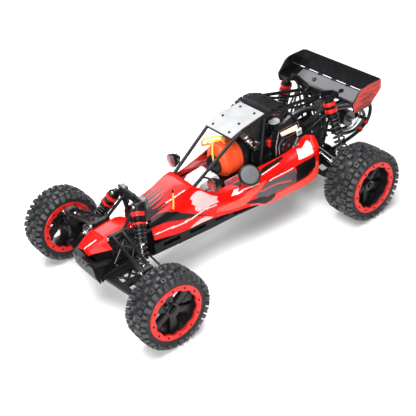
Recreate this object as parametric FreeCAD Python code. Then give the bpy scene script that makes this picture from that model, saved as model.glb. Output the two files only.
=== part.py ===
import FreeCAD, Part
import math
import os

V = FreeCAD.Vector

# Driving sizes, mm. Lengths along Y are taken from the middle of the wheelbase.
HALF_BASE = 285.5       # half the wheelbase
MID_Y = -46.5           # middle of the wheelbase in the row frame
AXLE_Z = 85.0           # wheel centre height
TYRE_R = 85.0
BEAD_R = 56.0           # rim seat of the tyre
FRONT_OUT = 235.5       # outer face of a front tyre
FRONT_W = 60.0
REAR_OUT = 224.0
REAR_W = 80.0
RUN = 0.05              # radial running clearance of pins and shafts
PIN_R = 3.0

CHASSIS_Z = 78.0        # underside of the chassis plate
CHASSIS_T = 4.0

FRONT_IN = (36.0, 88.0)     # front lower arm, inner pivot (x, z)
FRONT_UP = (33.0, 168.0)    # front upper arm, inner pivot
REAR_IN = (46.0, 88.0)
REAR_UP = (46.0, 150.0)
FRONT_ARM = (116.0, -22.0)  # inner to outer pivot, both front arms
REAR_ARM = (94.0, -22.0)
KINGPIN_X = 165.0
STEER_R = 45.0              # kingpin to tie rod end
TIE_IN = V(50, -240.5, 132)
TIE_OUT = V(160, -240.5, 111.5)
FRONT_SHOCK = (V(40, -221, 214), V(118, -278, 90))
REAR_SHOCK = (V(68, 301, 252), V(120, 301, 100))
SHAFT_IN = V(50, HALF_BASE, 108)
SHAFT_OUT = V(124.5, HALF_BASE, AXLE_Z)

TUBE_R = 4.0                # roll cage tube
CAP_C = V(90, 38, 184)      # fuel cap centre
CAP_AXIS = V(0.72, -0.25, 0.65).normalize()

SPUR_TEETH = 30
PINION_TEETH = 10
MODULE = 2.0
SPUR_C = V(-54, 226, 150)   # middle of the spur gear
PINION_Y = SPUR_C.y - MODULE * (SPUR_TEETH + PINION_TEETH) / 2


def box(x0, x1, y0, y1, z0, z1):
    return Part.makeBox(x1 - x0, y1 - y0, z1 - z0, V(x0, y0, z0))


def rod(p, q, r):
    d = q - p
    return Part.makeCylinder(r, d.Length, p, d)


def ball(p, r, axis=V(0, 0, 1)):
    return Part.makeSphere(r, p, axis)


def ybar(x, z, r, y0, y1):
    return Part.makeCylinder(r, y1 - y0, V(x, y0, z), V(0, 1, 0))


def xbar(y, z, r, x0, x1):
    return Part.makeCylinder(r, x1 - x0, V(x0, y, z), V(1, 0, 0))


def fuse(shapes):
    out = shapes[0]
    if len(shapes) > 1:
        out = out.multiFuse(shapes[1:])
    return out.removeSplitter()


def prism(points, direction):
    return Part.Face(Part.makePolygon(points + [points[0]])).extrude(direction)


def side_prism(points, x0, x1):
    return prism([V(x0, y, z) for y, z in points], V(x1 - x0, 0, 0))


def front_prism(points, y0, y1):
    return prism([V(x, y0, z) for x, z in points], V(0, y1 - y0, 0))


def plan_prism(points, z0, z1):
    return prism([V(x, y, z0) for x, y in points], V(0, 0, z1 - z0))


def plan_both(points, z0, z1):
    return plan_prism(points + [(-x, y) for x, y in reversed(points)], z0, z1)


def mirror(shape):
    return shape.mirror(V(0, 0, 0), V(1, 0, 0))


def both(shape):
    return [shape, mirror(shape)]


def route(points, r):
    runs = [rod(a, b, r) for a, b in zip(points, points[1:])]
    return runs + [ball(p, r) for p in points[1:-1]]


def bent_tube(points, r):
    """A round tube of straight runs joined by tangent arcs."""
    edges = []
    here = points[0]
    for i in range(1, len(points) - 1):
        a = points[i - 1] - points[i]
        b = points[i + 1] - points[i]
        short = min(a.Length, b.Length)
        turn = math.pi - a.getAngle(b)
        reach = 0.45 * short
        start = points[i] + V(a).normalize() * reach
        end = points[i] + V(b).normalize() * reach
        radius = reach / math.tan(turn / 2)
        inward = (V(a).normalize() + V(b).normalize()).normalize()
        depth = radius / math.cos(turn / 2) - radius
        print("arc radius %.1f" % radius)
        edges.append(Part.LineSegment(here, start).toShape())
        edges.append(Part.Arc(start, points[i] + inward * depth, end).toShape())
        here = end
    edges.append(Part.LineSegment(here, points[-1]).toShape())
    path = Part.Wire(edges)
    ring = Part.Wire(Part.makeCircle(r, points[0], points[1] - points[0]))
    return path.makePipeShell([ring], True, True)


def inset(points, t):
    """The polyline moved by t to its right-hand side."""
    out = []
    for i, p in enumerate(points):
        before = points[max(i - 1, 0)]
        after = points[min(i + 1, len(points) - 1)]
        dx = after[0] - before[0]
        dz = after[1] - before[1]
        n = math.hypot(dx, dz)
        out.append((p[0] + t * dz / n, p[1] - t * dx / n))
    return out


def skin(sections, t):
    """A thin ruled shell through section polylines given at stations along Y."""
    wires = []
    for y, points in sections:
        loop = points + list(reversed(inset(points, t)))
        corners = [V(x, y, z) for x, z in loop]
        wires.append(Part.makePolygon(corners + [corners[0]]))
    return Part.makeLoft(wires, True, True)


def spin_profile(points, y):
    """Turns (x, r) points about the wheel axis at station y."""
    corners = [V(x, y, AXLE_Z + r) for x, r in points]
    face = Part.Face(Part.makePolygon(corners + [corners[0]]))
    return face.revolve(V(0, y, AXLE_Z), V(1, 0, 0), 360)


def tyre(out, width, y):
    inner = out - width
    return spin_profile([
        (inner + 6, BEAD_R), (inner, 63), (inner, 73), (inner + 9, TYRE_R),
        (out - 9, TYRE_R), (out, 73), (out, 66), (out - 6, 63), (out - 6, BEAD_R)], y)


def rim(out, width, y, web_x, bore):
    inner = out - width
    barrel = spin_profile([
        (inner + 2, 51), (inner + 2, BEAD_R), (out - 6, BEAD_R), (out - 6, 51)], y)
    hub = xbar(y, AXLE_Z, 17, web_x - 7, web_x + 10)
    spokes = []
    for i in range(6):
        arm = box(web_x, web_x + 8, y - 8, y + 8, AXLE_Z + 12, AXLE_Z + 52)
        arm.rotate(V(0, y, AXLE_Z), V(1, 0, 0), 60 * i)
        spokes.append(arm)
    wheel = fuse([barrel, hub] + spokes)
    return wheel.cut(xbar(y, AXLE_Z, bore, web_x - 10, web_x + 12))


def beadlock(out, y):
    ring = spin_profile([(out - 6, 47), (out - 6, 62.5), (out - 1, 62.5), (out - 1, 47)], y)
    bolts = []
    for i in range(12):
        a = 2 * math.pi * i / 12
        bolts.append(xbar(y + 58 * math.cos(a), AXLE_Z + 58 * math.sin(a), 2, out - 1, out))
    return fuse([ring] + bolts)


def wishbone(inner, reach, y_in, y_out, thick, ear):
    """An A-arm: bored inner barrel, tapered plate, two outer ears on a pin.

    y_in is the span of the barrel, y_out the span between the ears."""
    length = math.hypot(*reach)
    y0, y1 = y_in
    e0, e1 = y_out
    plate = plan_prism([
        (0, y0), (length - 12, e0 - ear), (length - 12, e1 + ear), (0, y1)],
        -thick / 2, thick / 2)
    parts = [plate, ybar(0, 0, 7, y0, y1)]
    for a, b in ((e0 - ear, e0), (e1, e1 + ear)):
        parts.append(box(length - 14, length, a, b, -thick / 2, thick / 2))
        parts.append(ybar(length, 0, thick * 0.75, a, b))
    parts.append(ybar(length, 0, PIN_R, e0 - ear, e1 + ear))
    arm = fuse(parts).cut(ybar(0, 0, PIN_R + RUN, y0 - 1, y1 + 1))
    arm.rotate(V(0, 0, 0), V(0, 1, 0), -math.degrees(math.atan2(reach[1], reach[0])))
    arm.translate(V(inner[0], 0, inner[1]))
    return arm


def windows(arm, cuts):
    """Cuts through-holes, each an (x0, x1, y0, y1) window, straight down."""
    for x0, x1, y0, y1 in cuts:
        arm = arm.cut(box(x0, x1, y0, y1, 40, 200))
    return arm


def shock(top, low, cap_r, cap_l, can_r, can_l, spring_r, eye):
    """Returns the upper body, the rod with the lower eye, and the coil spring."""
    axis = V(low - top).normalize()
    length = (low - top).Length
    head = top + axis * 7
    can_end = head + axis * (cap_l + can_l)
    collar = head + axis * (cap_l + 8)
    body = fuse([
        ybar(top.x, top.z, 7, top.y - 5, top.y + 5),
        rod(top, head + axis * cap_l, cap_r * 0.7),
        rod(head, head + axis * cap_l, cap_r),
        rod(head, can_end, can_r),
        rod(collar, collar + axis * 5, spring_r + 1.5)])
    body = body.cut(ybar(top.x, top.z, PIN_R + RUN, top.y - 14, top.y + 14))
    body = body.cut(rod(head + axis * cap_l, can_end + axis, can_r - 3))
    seat = low - axis * 20
    lower = fuse([
        ybar(low.x, low.z, 8, low.y - 4.8, low.y + 4.8),
        rod(seat, low, 4.5),
        rod(seat - axis * 3, seat, spring_r + 1.5),
        rod(head + axis * (cap_l + can_l - 12), seat, 2.5),
        rod(head + axis * (cap_l + can_l - 16), head + axis * (cap_l + can_l - 10), can_r - 3.05)])
    lower = lower.cut(ybar(low.x, low.z, 4.2, low.y - 6, low.y + 6))
    span = (seat - collar).Length - 3 - 5
    wire = 1.5
    pitch = (span - 2 * wire - 0.6) / 8
    helix = Part.makeHelix(pitch, pitch * 8, spring_r - wire)
    section = Part.Wire(Part.makeCircle(wire, V(spring_r - wire, 0, 0), V(0, 1, pitch / 30)))
    coil = Part.Wire(helix).makePipeShell([section], True, True)
    coil.translate(V(0, 0, wire + 0.3))
    turn = FreeCAD.Rotation(V(0, 0, 1), axis)
    coil.Placement = FreeCAD.Placement(collar + axis * 5, turn).multiply(coil.Placement)
    return body, lower, coil


def gear(teeth, width, x0, y, z, phase):
    """A spur gear with straight-flanked teeth, turning about X."""
    pitch = MODULE * teeth / 2
    step = 2 * math.pi / teeth
    corners = []
    for i in range(teeth):
        for r, a in ((pitch - 2.4, -0.30), (pitch, -0.22), (pitch + 1.8, -0.12),
                     (pitch + 1.8, 0.12), (pitch, 0.22), (pitch - 2.4, 0.30)):
            t = (i + a + phase) * step
            corners.append(V(x0, y + r * math.cos(t), z + r * math.sin(t)))
    return prism(corners, V(width, 0, 0))


def front_corner():
    """The left front suspension, steering knuckle and wheel."""
    y = -HALF_BASE
    out_x = FRONT_IN[0] + FRONT_ARM[0]
    out_z = FRONT_IN[1] + FRONT_ARM[1]
    up_x = FRONT_UP[0] + FRONT_ARM[0]
    up_z = FRONT_UP[1] + FRONT_ARM[1]
    low = FRONT_SHOCK[1]
    lower = wishbone(FRONT_IN, FRONT_ARM, (-330, -246), (y - 17.5, y + 17.5), 8, 5)
    lug = fuse([box(low.x - 8, low.x + 8, low.y - 12, low.y - 6, 68, low.z),
                ybar(low.x, low.z, 8, low.y - 12, low.y - 6),
                ybar(low.x, low.z, PIN_R, low.y - 12, low.y + 16)])
    lower = windows(lower, [(54, 76, -308, -268), (88, 106, -304, -290)])
    lower = fuse([lower, lug])
    upper = wishbone(FRONT_UP, FRONT_ARM, (-290, -260), (y - 8.5, y + 8.5), 8, 5)
    upper = windows(upper, [(52, 82, -285, -271), (92, 116, -290, -276)])

    carrier = fuse([
        ybar(out_x, out_z, 7, y - 17, y + 17),
        box(out_x - 6, out_x, y - 8, y + 8, out_z, up_z),
        box(out_x - 6, KINGPIN_X + 8, y - 9, y + 9, out_z, 73),
        box(out_x - 6, KINGPIN_X + 8, y - 9, y + 9, 105, 112),
        ybar(up_x, up_z, 8, y - 8, y + 8)])
    carrier = carrier.cut(ybar(out_x, out_z, PIN_R + RUN, y - 20, y + 20))
    carrier = carrier.cut(ybar(up_x, up_z, PIN_R + 0.3, y - 20, y + 20))
    carrier = carrier.cut(rod(V(KINGPIN_X, y, 50), V(KINGPIN_X, y, 120), 4 + RUN))

    knuckle = fuse([
        rod(V(KINGPIN_X, y, 73.4), V(KINGPIN_X, y, 104.6), 11),
        rod(V(KINGPIN_X, y, 67), V(KINGPIN_X, y, 111), 4),
        xbar(y, AXLE_Z, 8, KINGPIN_X, 200),
        xbar(y, AXLE_Z, 6, KINGPIN_X, 231),
        xbar(y, AXLE_Z, 10, 220, 229),
        plan_prism([(KINGPIN_X + 6, y), (KINGPIN_X - 1, y + STEER_R), (KINGPIN_X - 9, y + STEER_R),
                    (KINGPIN_X - 4, y)], 98, 104),
        rod(V(TIE_OUT.x, TIE_OUT.y, 98), V(TIE_OUT.x, TIE_OUT.y, 104), 6)])

    axis = V(TIE_OUT - TIE_IN).normalize()
    tie = fuse([
        ball(TIE_IN, 5, axis), rod(TIE_IN, TIE_IN + axis * 22, 4), rod(TIE_IN, TIE_OUT, 2.2),
        rod(TIE_OUT - axis * 24, TIE_OUT, 4), ball(TIE_OUT, 6.5, axis)])
    tie = tie.cut(ybar(TIE_IN.x, TIE_IN.z, 2.5 + RUN, TIE_IN.y - 8, TIE_IN.y + 8))
    tie = tie.cut(box(40, 60, TIE_IN.y + 5, TIE_IN.y + 10, 120, 140))

    body, lower_rod, coil = shock(*FRONT_SHOCK, 12, 22, 9.5, 48, 13, 8)
    wheel = rim(FRONT_OUT, FRONT_W, y, 209.5, 6 + RUN)
    return {
        "lower_arm": lower, "upper_arm": upper, "hub_carrier": carrier, "knuckle": knuckle,
        "tie_rod": tie, "shock_body": body, "shock_rod": lower_rod, "spring": coil,
        "tyre": tyre(FRONT_OUT, FRONT_W, y), "rim": fuse([wheel, beadlock(FRONT_OUT, y)])}


def rear_corner():
    """The left rear suspension, drive shaft and wheel."""
    y = HALF_BASE
    out_x = REAR_IN[0] + REAR_ARM[0]
    out_z = REAR_IN[1] + REAR_ARM[1]
    up_x = REAR_UP[0] + REAR_ARM[0]
    up_z = REAR_UP[1] + REAR_ARM[1]
    low = REAR_SHOCK[1]
    lower = wishbone(REAR_IN, REAR_ARM, (241, 330), (y - 17.5, y + 17.5), 8, 5)
    lower = windows(lower, [(60, 84, 259, 282), (60, 84, 292, 312), (96, 123, 278, 293)])
    lug = fuse([box(low.x - 8, low.x + 8, low.y + 7, low.y + 13, 70, low.z),
                ybar(low.x, low.z, 8, low.y + 7, low.y + 13),
                ybar(low.x, low.z, PIN_R, low.y - 6, low.y + 13),
                box(low.x - 20, low.x + 8, low.y - 4, low.y + 13, 68, 76)])
    lower = fuse([lower, lug])
    carrier = fuse([
        ybar(out_x, out_z, 7, y - 17, y + 17),
        xbar(y, AXLE_Z, 15, 134, 160),
        box(131, 142, y - 20, y - 11, AXLE_Z - 10, up_z),
        ybar(up_x - 3, up_z, 7, y - 20, y - 11)])
    carrier = carrier.cut(ybar(out_x, out_z, PIN_R + RUN, y - 20, y + 20))
    carrier = carrier.cut(xbar(y, AXLE_Z, 8 + RUN, 120, 170))
    carrier = carrier.cut(ybar(up_x - 3, up_z, PIN_R + 0.3, y - 30, y))

    link_y = y - 15.5
    link = fuse([
        ybar(REAR_UP[0] - 3, REAR_UP[1], 6, link_y - 10, link_y - 5.2),
        ybar(up_x - 3, up_z, 6, link_y - 10, link_y - 5.2),
        rod(V(REAR_UP[0] - 3, link_y - 8, REAR_UP[1]), V(up_x - 3, link_y - 8, up_z), 2.6),
        ybar(up_x - 3, up_z, PIN_R, link_y - 8, link_y + 4.5)])
    link = link.cut(ybar(REAR_UP[0] - 3, REAR_UP[1], PIN_R + RUN, link_y - 12, link_y))

    axis = V(SHAFT_OUT - SHAFT_IN).normalize()
    shaft = fuse([ball(SHAFT_IN, 6.5, axis), rod(SHAFT_IN, SHAFT_OUT, 4), ball(SHAFT_OUT, 5.5, axis)])

    axle = fuse([xbar(y, AXLE_Z, 8, 131, 214), xbar(y, AXLE_Z, 9.5, 119.5, 133.5),
                 xbar(y, AXLE_Z, 11, 160.5, 184), xbar(y, AXLE_Z, 12, 201, 211)])
    axle = axle.cut(xbar(y, AXLE_Z, 7.5, 110, 131.2))
    wheel = fuse([rim(REAR_OUT, REAR_W, y, 190, 8), axle, beadlock(REAR_OUT, y)])

    body, lower_rod, coil = shock(*REAR_SHOCK, 12, 22, 9.5, 50, 13, 8)
    return {
        "lower_arm": lower, "upper_link": link, "hub_carrier": carrier, "driveshaft": shaft,
        "shock_body": body, "shock_rod": lower_rod, "spring": coil,
        "tyre": tyre(REAR_OUT, REAR_W, y), "rim": wheel}


def chassis():
    plate = plan_both([(20, -338), (26, -326), (26, -236), (44, -205), (60, -60), (64, 5),
                       (72, 60), (72, 205), (36, 232), (36, 342)],
                      CHASSIS_Z, CHASSIS_Z + CHASSIS_T)
    rail = plan_prism([(41, -200), (44, -200), (60, -60), (64, 3), (61, 3), (57, -60)], 82, 104)
    for a, b in ((-178, -136), (-112, -70), (-46, -10)):
        rail = rail.cut(box(30, 80, a, b, 89, 98))
    pod_rail = box(69, 72, 60, 205, 82, 92)
    return fuse([plate] + both(rail) + both(pod_rail))


def arm_ears(inner, y0, y1, wide):
    """Two ears and a pin that carry an arm's inner barrel, left and right."""
    x, z = inner
    parts = []
    for a, b in ((y0 - 6.5, y0 - 0.5), (y1 + 0.5, y1 + 6.5)):
        parts.append(box(-x - wide, x + wide, a, b, z - 6, z + 7))
    parts += both(ybar(x, z, PIN_R, y0 - 6.5, y1 + 6.5))
    return parts


def front_bulkhead():
    top = FRONT_SHOCK[0]
    block = fuse([box(-24, 24, -330, -246, 82, 140), box(-26, 26, -296.5, -250, 82, 160)])
    block = block.cut(box(-14, 14, -320, -262, 100, 180))
    leg = front_prism([(48, 206), (48, 222), (14, 222), (14, 212), (30, 200), (14, 120),
                       (14, 82), (24, 82), (26, 120), (44, 196)], -209, -204)
    bridge = box(-48, 48, -209, -204, 208, 222)
    foot = box(-26, 26, -246, -204, 82, 88)
    parts = [block, bridge, foot] + both(leg)
    parts += arm_ears(FRONT_IN, -330, -246, 6)
    for a, b in ((-296.5, -290.5), (-259.5, -253.5)):
        parts += both(front_prism([(24, 140), (38, 150), (38, 175), (28, 175), (28, 158), (24, 158)], a, b))
    parts += both(ybar(FRONT_UP[0], FRONT_UP[1], PIN_R, -296.5, -253.5))
    parts += both(ybar(top.x, top.z, PIN_R, top.y - 6, -204))
    parts += both(rod(V(19, -206, 216), V(32, -256.5, 171), 3.5))
    guide = box(-20, 20, -246, -224, 86, 142)
    guide = guide.cut(box(-30, 30, -234.3, -228.7, 126.7, 137.3))
    parts.append(guide)
    return fuse(parts)


def steering_link():
    bar = box(-55, 55, -234, -229, 127, 137)
    pins = both(ybar(TIE_IN.x, TIE_IN.z, 2.5, TIE_IN.y - 5, -232))
    return fuse([bar] + pins)


def front_bumper():
    dish = side_prism([(-350, 126), (-346, 126), (-342, 110), (-338.2, 92), (-338.2, 78),
                       (-341, 80), (-347, 96)], -40, 40)
    rim_plate = plan_both([(16, -350), (40, -345), (50, -318), (50, -306), (40, -312), (34, -337)], 124, 130)
    sides = both(side_prism([(-344, 126), (-312, 126), (-322, 110), (-337, 90)], 36, 40))
    posts = both(box(18, 23, -344, -330.2, 100, 112))
    return fuse([dish, rim_plate] + sides + posts)


def nose_cover():
    """The front lozenge and the narrow panel that runs back between the upper arms."""
    front = skin([
        (-341, [(-20, 142), (-8, 145), (8, 145), (20, 142)]),
        (-337, [(-23, 145), (-10, 149), (10, 149), (23, 145)]),
        (-298.5, [(-44, 147), (-25, 162.5), (25, 162.5), (44, 147)])], 3)
    rear = skin([
        (-299, [(-26.5, 157), (-24, 163.5), (24, 163.5), (26.5, 157)]),
        (-241, [(-26.5, 160.5), (-24, 166.5), (24, 166.5), (26.5, 160.5)]),
        (-230, [(-12, 162), (-9, 166), (9, 166), (12, 162)])], 3)
    return fuse([front, rear])


def body_shell():
    hood = skin([
        (-203.5, [(-54, 124), (-50, 150), (-36, 163), (36, 163), (50, 150), (54, 124)]),
        (-140, [(-62, 114), (-55, 160), (-38, 177), (38, 177), (55, 160), (62, 114)]),
        (-79, [(-66, 112), (-60, 150), (-44, 190), (44, 190), (60, 150), (66, 112)])], 2.5)
    flank = skin([
        (-79, [(44, 190), (54, 168), (60, 150), (66, 112)]),
        (-49, [(50, 165), (58, 158), (68, 140), (68, 108)]),
        (4.5, [(58, 160), (70, 152), (84, 134), (80, 104)])], 2.5)
    hood = hood.cut(box(-49, 49, -210, -202, 100, 230))
    return fuse([hood] + both(flank))


def side_pod():
    return skin([
        (5.5, [(58, 160), (70, 152), (84, 134), (80, 104)]),
        (41, [(64, 166), (80, 160), (97, 146), (95, 112)]),
        (75, [(65, 170), (84, 165), (103, 146), (97, 92)]),
        (155, [(68, 170), (88, 165), (108, 147), (102, 91)]),
        (205, [(74, 182), (93, 186), (110, 162), (104, 91)]),
        (222, [(80, 200), (100, 210), (114, 186), (108, 108)])], 2.5)


def roll_cage():
    front = [V(37, -74, 82.2), V(37, -74, 186), (V(45, 39, 255)), V(46.5, 62, 265),
             V(41, 133, 270), V(42, 186, 269)]
    side = route(front, TUBE_R)
    side += route([V(42, 186, 269), V(24, 312, 240)], TUBE_R)
    side += [ball(V(42, 186, 269), TUBE_R)]
    side += route([V(50, 104, 82.2), V(50, 104, 172), V(41, 133, 270)], TUBE_R)
    side += route([V(42, 186, 269), V(52, 236, 205), V(36, 312, 205)], 3)
    cross = []
    for x, y, z in ((45, 39, 255), (41, 133, 270), (42, 186, 269)):
        cross.append(rod(V(-x, y, z), V(x, y, z), TUBE_R - 0.5))
    cage = fuse(side + [mirror(s) for s in side] + cross)
    feet = both(box(30, 44, -81, -67, 82, 85)) + both(box(43, 57, 97, 111, 82, 85))
    return fuse([cage] + feet)


def roof_panels():
    sheet = side_prism([(36, 261), (62, 270.5), (133, 275), (134, 277), (62, 272.8), (35, 263)], -47, 47)
    sheet = sheet.common(plan_both([(44, 30), (47, 62), (40, 140)], 240, 290))
    plate = side_prism([(137.5, 274.6), (187, 273.2), (187, 275.4), (137.5, 276.8)], -40, 40)
    heads = []
    for x, y in ((28, 43), (28, 72), (24, 120)):
        heads += [Part.makeCylinder(2.6, 6, V(s * x, y, 262.8 + (y - 36) * 0.3 * (y < 62)
                  + (7.6 + (y - 62) * 0.063) * (y > 62))) for s in (-1, 1)]
    return fuse([sheet] + heads + [plate])


def rear_wing():
    end = [(350.6, 275), (375, 277.7), (415.9, 276.1), (414, 251), (376, 221), (327, 222), (321, 244.5)]
    plates = both(side_prism(end, 122, 126))
    main = side_prism([(346, 226), (350, 229.5), (388, 242.5), (391, 240), (352, 224.5)], -122, 122)
    flap = side_prism([(391, 243.5), (397, 246), (415, 275), (409, 275), (388, 252)], -122, 122)
    stays = []
    for x in (-92, -46, 0, 46, 92):
        stays.append(box(x - 1.2, x + 1.2, 386, 392, 240, 248))
    struts = both(side_prism([(321, 222), (321, 236), (346, 224), (372, 235), (360, 212)], 26, 31))
    heads = both(Part.makeCylinder(4, 4, V(45, 366, 232.5), V(0, -0.3, 1)))
    return fuse(plates + [main, flap] + stays + struts + heads)


def engine():
    case = box(-40, 38, 150, 212, 92, 170)
    foot = box(-34, 34, 156, 206, 82, 92)
    head = [box(-32, 14, 158, 206, z, z + 3) for z in (173, 179, 185, 191)]
    core = box(-26, 8, 163, 201, 168, 198)
    shroud = side_prism([(143, 160), (143, 196), (156, 226), (212, 226), (216, 200), (208, 152), (160, 148)], 38, 60)
    starter = xbar(182, 180, 24, 60, 66)
    boss = xbar(PINION_Y, SPUR_C.z, 9, -47, -38)
    filter_drum = [rod(V(-10, 182, 190), V(-10, 182, 206), 10), rod(V(-10, 182, 206), V(-10, 182, 224), 19),
                   rod(V(-10, 182, 224), V(-10, 182, 227), 13)]
    eng = fuse([case, foot, core, shroud, starter, boss] + head + filter_drum)
    return eng.cut(xbar(PINION_Y, SPUR_C.z, 4 + RUN, -50, -30))


def exhaust():
    can = xbar(392, 150, 19, -62, 44)
    pipe = bent_tube([V(-20, 212.2, 158), V(-20, 228, 168), V(-16, 250, 186), V(-10, 285, 196),
                      V(-8, 325, 192), V(-8, 355, 178), V(-8, 378, 158)], 6)
    tip = rod(V(44, 392, 150), V(58, 392, 150), 6)
    return fuse([can, pipe, tip])


def fuel_tank():
    tank = side_prism([(16, 84), (16, 186), (28, 220), (52, 238), (74, 232), (90, 200), (90, 84)], -38, 38)
    tank = tank.makeFillet(7, [e for e in tank.Edges if e.BoundBox.XLength < 1 and e.BoundBox.ZMin > 84.5])
    filler = rod(V(0, 18, 184), V(0, 10, 186), 20)
    neck = rod(CAP_C - CAP_AXIS * 78, CAP_C - CAP_AXIS * 8, 11)
    mouth = rod(CAP_C - CAP_AXIS * 12, CAP_C, 17)
    return fuse([tank, filler, neck, mouth])


def fuel_cap():
    disc = rod(CAP_C - CAP_AXIS * 6, CAP_C + CAP_AXIS * 6, 22)
    return disc.cut(rod(CAP_C - CAP_AXIS * 8, CAP_C + CAP_AXIS * 0.5, 17 + RUN))


def fuel_line():
    return bent_tube([V(6, 44, 240), V(4, 32, 252), V(-8, 18, 250), V(-22, 6, 243), V(-32, 8, 226),
                      V(-42, 24, 214), V(-43, 50, 207), V(-42, 80, 200), V(-36, 112, 196),
                      V(-30, 134, 188), V(-22, 149.8, 180)], 2.5)


def gearbox():
    base = box(-34, 34, 236, 336, 82, 97)
    case = box(-30, 30, 240, 322, 97, 165)
    cups = []
    for s in (1, -1):
        cup = rod(V(s * 28, HALF_BASE, 108), V(s * 56, HALF_BASE, 108), 10.5)
        cups.append(cup.cut(rod(V(s * 42, HALF_BASE, 108), V(s * 60, HALF_BASE, 108), 8)))
    box_parts = [base, case] + arm_ears(REAR_IN, 241, 330, 6)
    box_parts += both(ybar(REAR_UP[0] - 3, REAR_UP[1], PIN_R, HALF_BASE - 25.5, HALF_BASE - 15))
    box_parts += both(box(28, 48, HALF_BASE - 20, HALF_BASE - 15, 144, 156))
    plate = box(-47, -41, 214, 250, 138, 164)
    arm = box(-47, -28, 240, 250, 138, 164)
    solid = fuse(box_parts + cups + [plate, arm])
    return solid.cut(xbar(SPUR_C.y, SPUR_C.z, 4 + RUN, -50, -38))


def rear_tower():
    top = REAR_SHOCK[0]
    leg = front_prism([(26, 120), (32, 165), (44, 236), (76, 245), (76, 260), (56, 260),
                       (20, 246), (20, 232), (26, 225), (16, 170), (16, 120)], 323, 328)
    caps = [box(-26, 26, 323, 328, 120, 136), box(-22, 22, 323, 328, 232, 246), box(-28, 28, 323, 328, 158, 168)]
    pins = both(ybar(top.x, top.z, PIN_R, top.y - 6, 325))
    bosses = both(ybar(top.x, top.z, 6, top.y + 14, 325))
    return fuse(both(leg) + caps + pins + bosses)


def rear_bumper():
    hoop = bent_tube([V(42, 336.2, 90), V(42, 372, 92), V(46, 420, 102), V(50, 452, 124), V(50, 462, 156),
                      V(48, 446, 186), V(42, 410, 200), V(34, 372, 202), V(28, 328.2, 200)], 4.5)
    bars = [xbar(447, 126, 4, -50, 50), xbar(457, 160, 4, -50, 50)]
    return fuse(both(hoop) + bars)


def headlamps():
    lamp = fuse([
        Part.makeCone(16, 14, 8, V(74, -52, 194), V(0, 1, 0)),
        Part.makeCone(14, 6, 16, V(74, -44, 194), V(0, 1, 0)),
        rod(V(74, -36, 196), V(40, -50, 201), 2.5)])
    return both(lamp)


def radio_box():
    low = box(-26, 26, -62, 0, 82, 150)
    top = side_prism([(-62, 150), (-60, 164), (-46, 175), (-6, 178), (0, 174), (0, 150)], -26, 26)
    return fuse([low, top])


def spur_gear():
    c = SPUR_C
    wheel = gear(SPUR_TEETH, 8, c.x - 4, c.y, c.z, 0)
    return fuse([wheel, xbar(c.y, c.z, 9, c.x - 6, c.x + 6), xbar(c.y, c.z, 4, c.x - 6, -40)])


def clutch_pinion():
    c = SPUR_C
    wheel = gear(PINION_TEETH, 8, c.x - 4, PINION_Y, c.z, 0.5)
    return fuse([wheel, xbar(PINION_Y, c.z, 4, c.x - 6, -32)])


def write(name, shape):
    shape.translate(V(0, MID_Y, 0))
    if not shape.isValid():
        print("NOT VALID", name)
    box_size = shape.BoundBox
    print("%-28s solids %d  volume %.0f  x %.0f..%.0f y %.0f..%.0f z %.0f..%.0f" % (
        name, len(shape.Solids), shape.Volume, box_size.XMin, box_size.XMax, box_size.YMin,
        box_size.YMax, box_size.ZMin, box_size.ZMax))
    shape.exportStep("parts/" + name + ".step")


def main():
    os.makedirs("parts", exist_ok=True)
    for end, corner in (("front", front_corner()), ("rear", rear_corner())):
        for name, shape in corner.items():
            write(end + "_left_" + name, shape.copy())
            write(end + "_right_" + name, mirror(shape))

    cage = roll_cage()
    tower = rear_tower()
    gears = gearbox()
    motor = engine()
    bulkhead = front_bulkhead()
    neck_room = rod(CAP_C - CAP_AXIS * 78, CAP_C + CAP_AXIS * 10, 23)
    pods = [side_pod().cut(neck_room), mirror(side_pod())]
    fixed = {
        "chassis_plate": chassis(),
        "front_bulkhead": bulkhead,
        "steering_link": steering_link(),
        "front_bumper": front_bumper().cut(bulkhead),
        "nose_cover": nose_cover().cut(bulkhead),
        "body_shell": body_shell(),
        "side_pods": Part.makeCompound(pods),
        "roll_cage": cage,
        "roof_panels": roof_panels(),
        "rear_wing": rear_wing().cut(tower),
        "engine": motor,
        "exhaust": exhaust().cut(motor),
        "fuel_tank": fuel_tank(),
        "fuel_cap": fuel_cap(),
        "fuel_line": fuel_line().cut(motor),
        "gearbox": gears,
        "rear_tower": tower,
        "rear_bumper": rear_bumper().cut(gears.fuse(tower)),
        "headlamps": Part.makeCompound([lamp.cut(cage) for lamp in headlamps()]),
        "radio_box": radio_box(),
        "spur_gear": spur_gear(),
        "clutch_pinion": clutch_pinion()}
    for name, shape in fixed.items():
        write(name, shape)


main()
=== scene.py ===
import math

import bpy
from mathutils import Matrix, Vector


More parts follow.
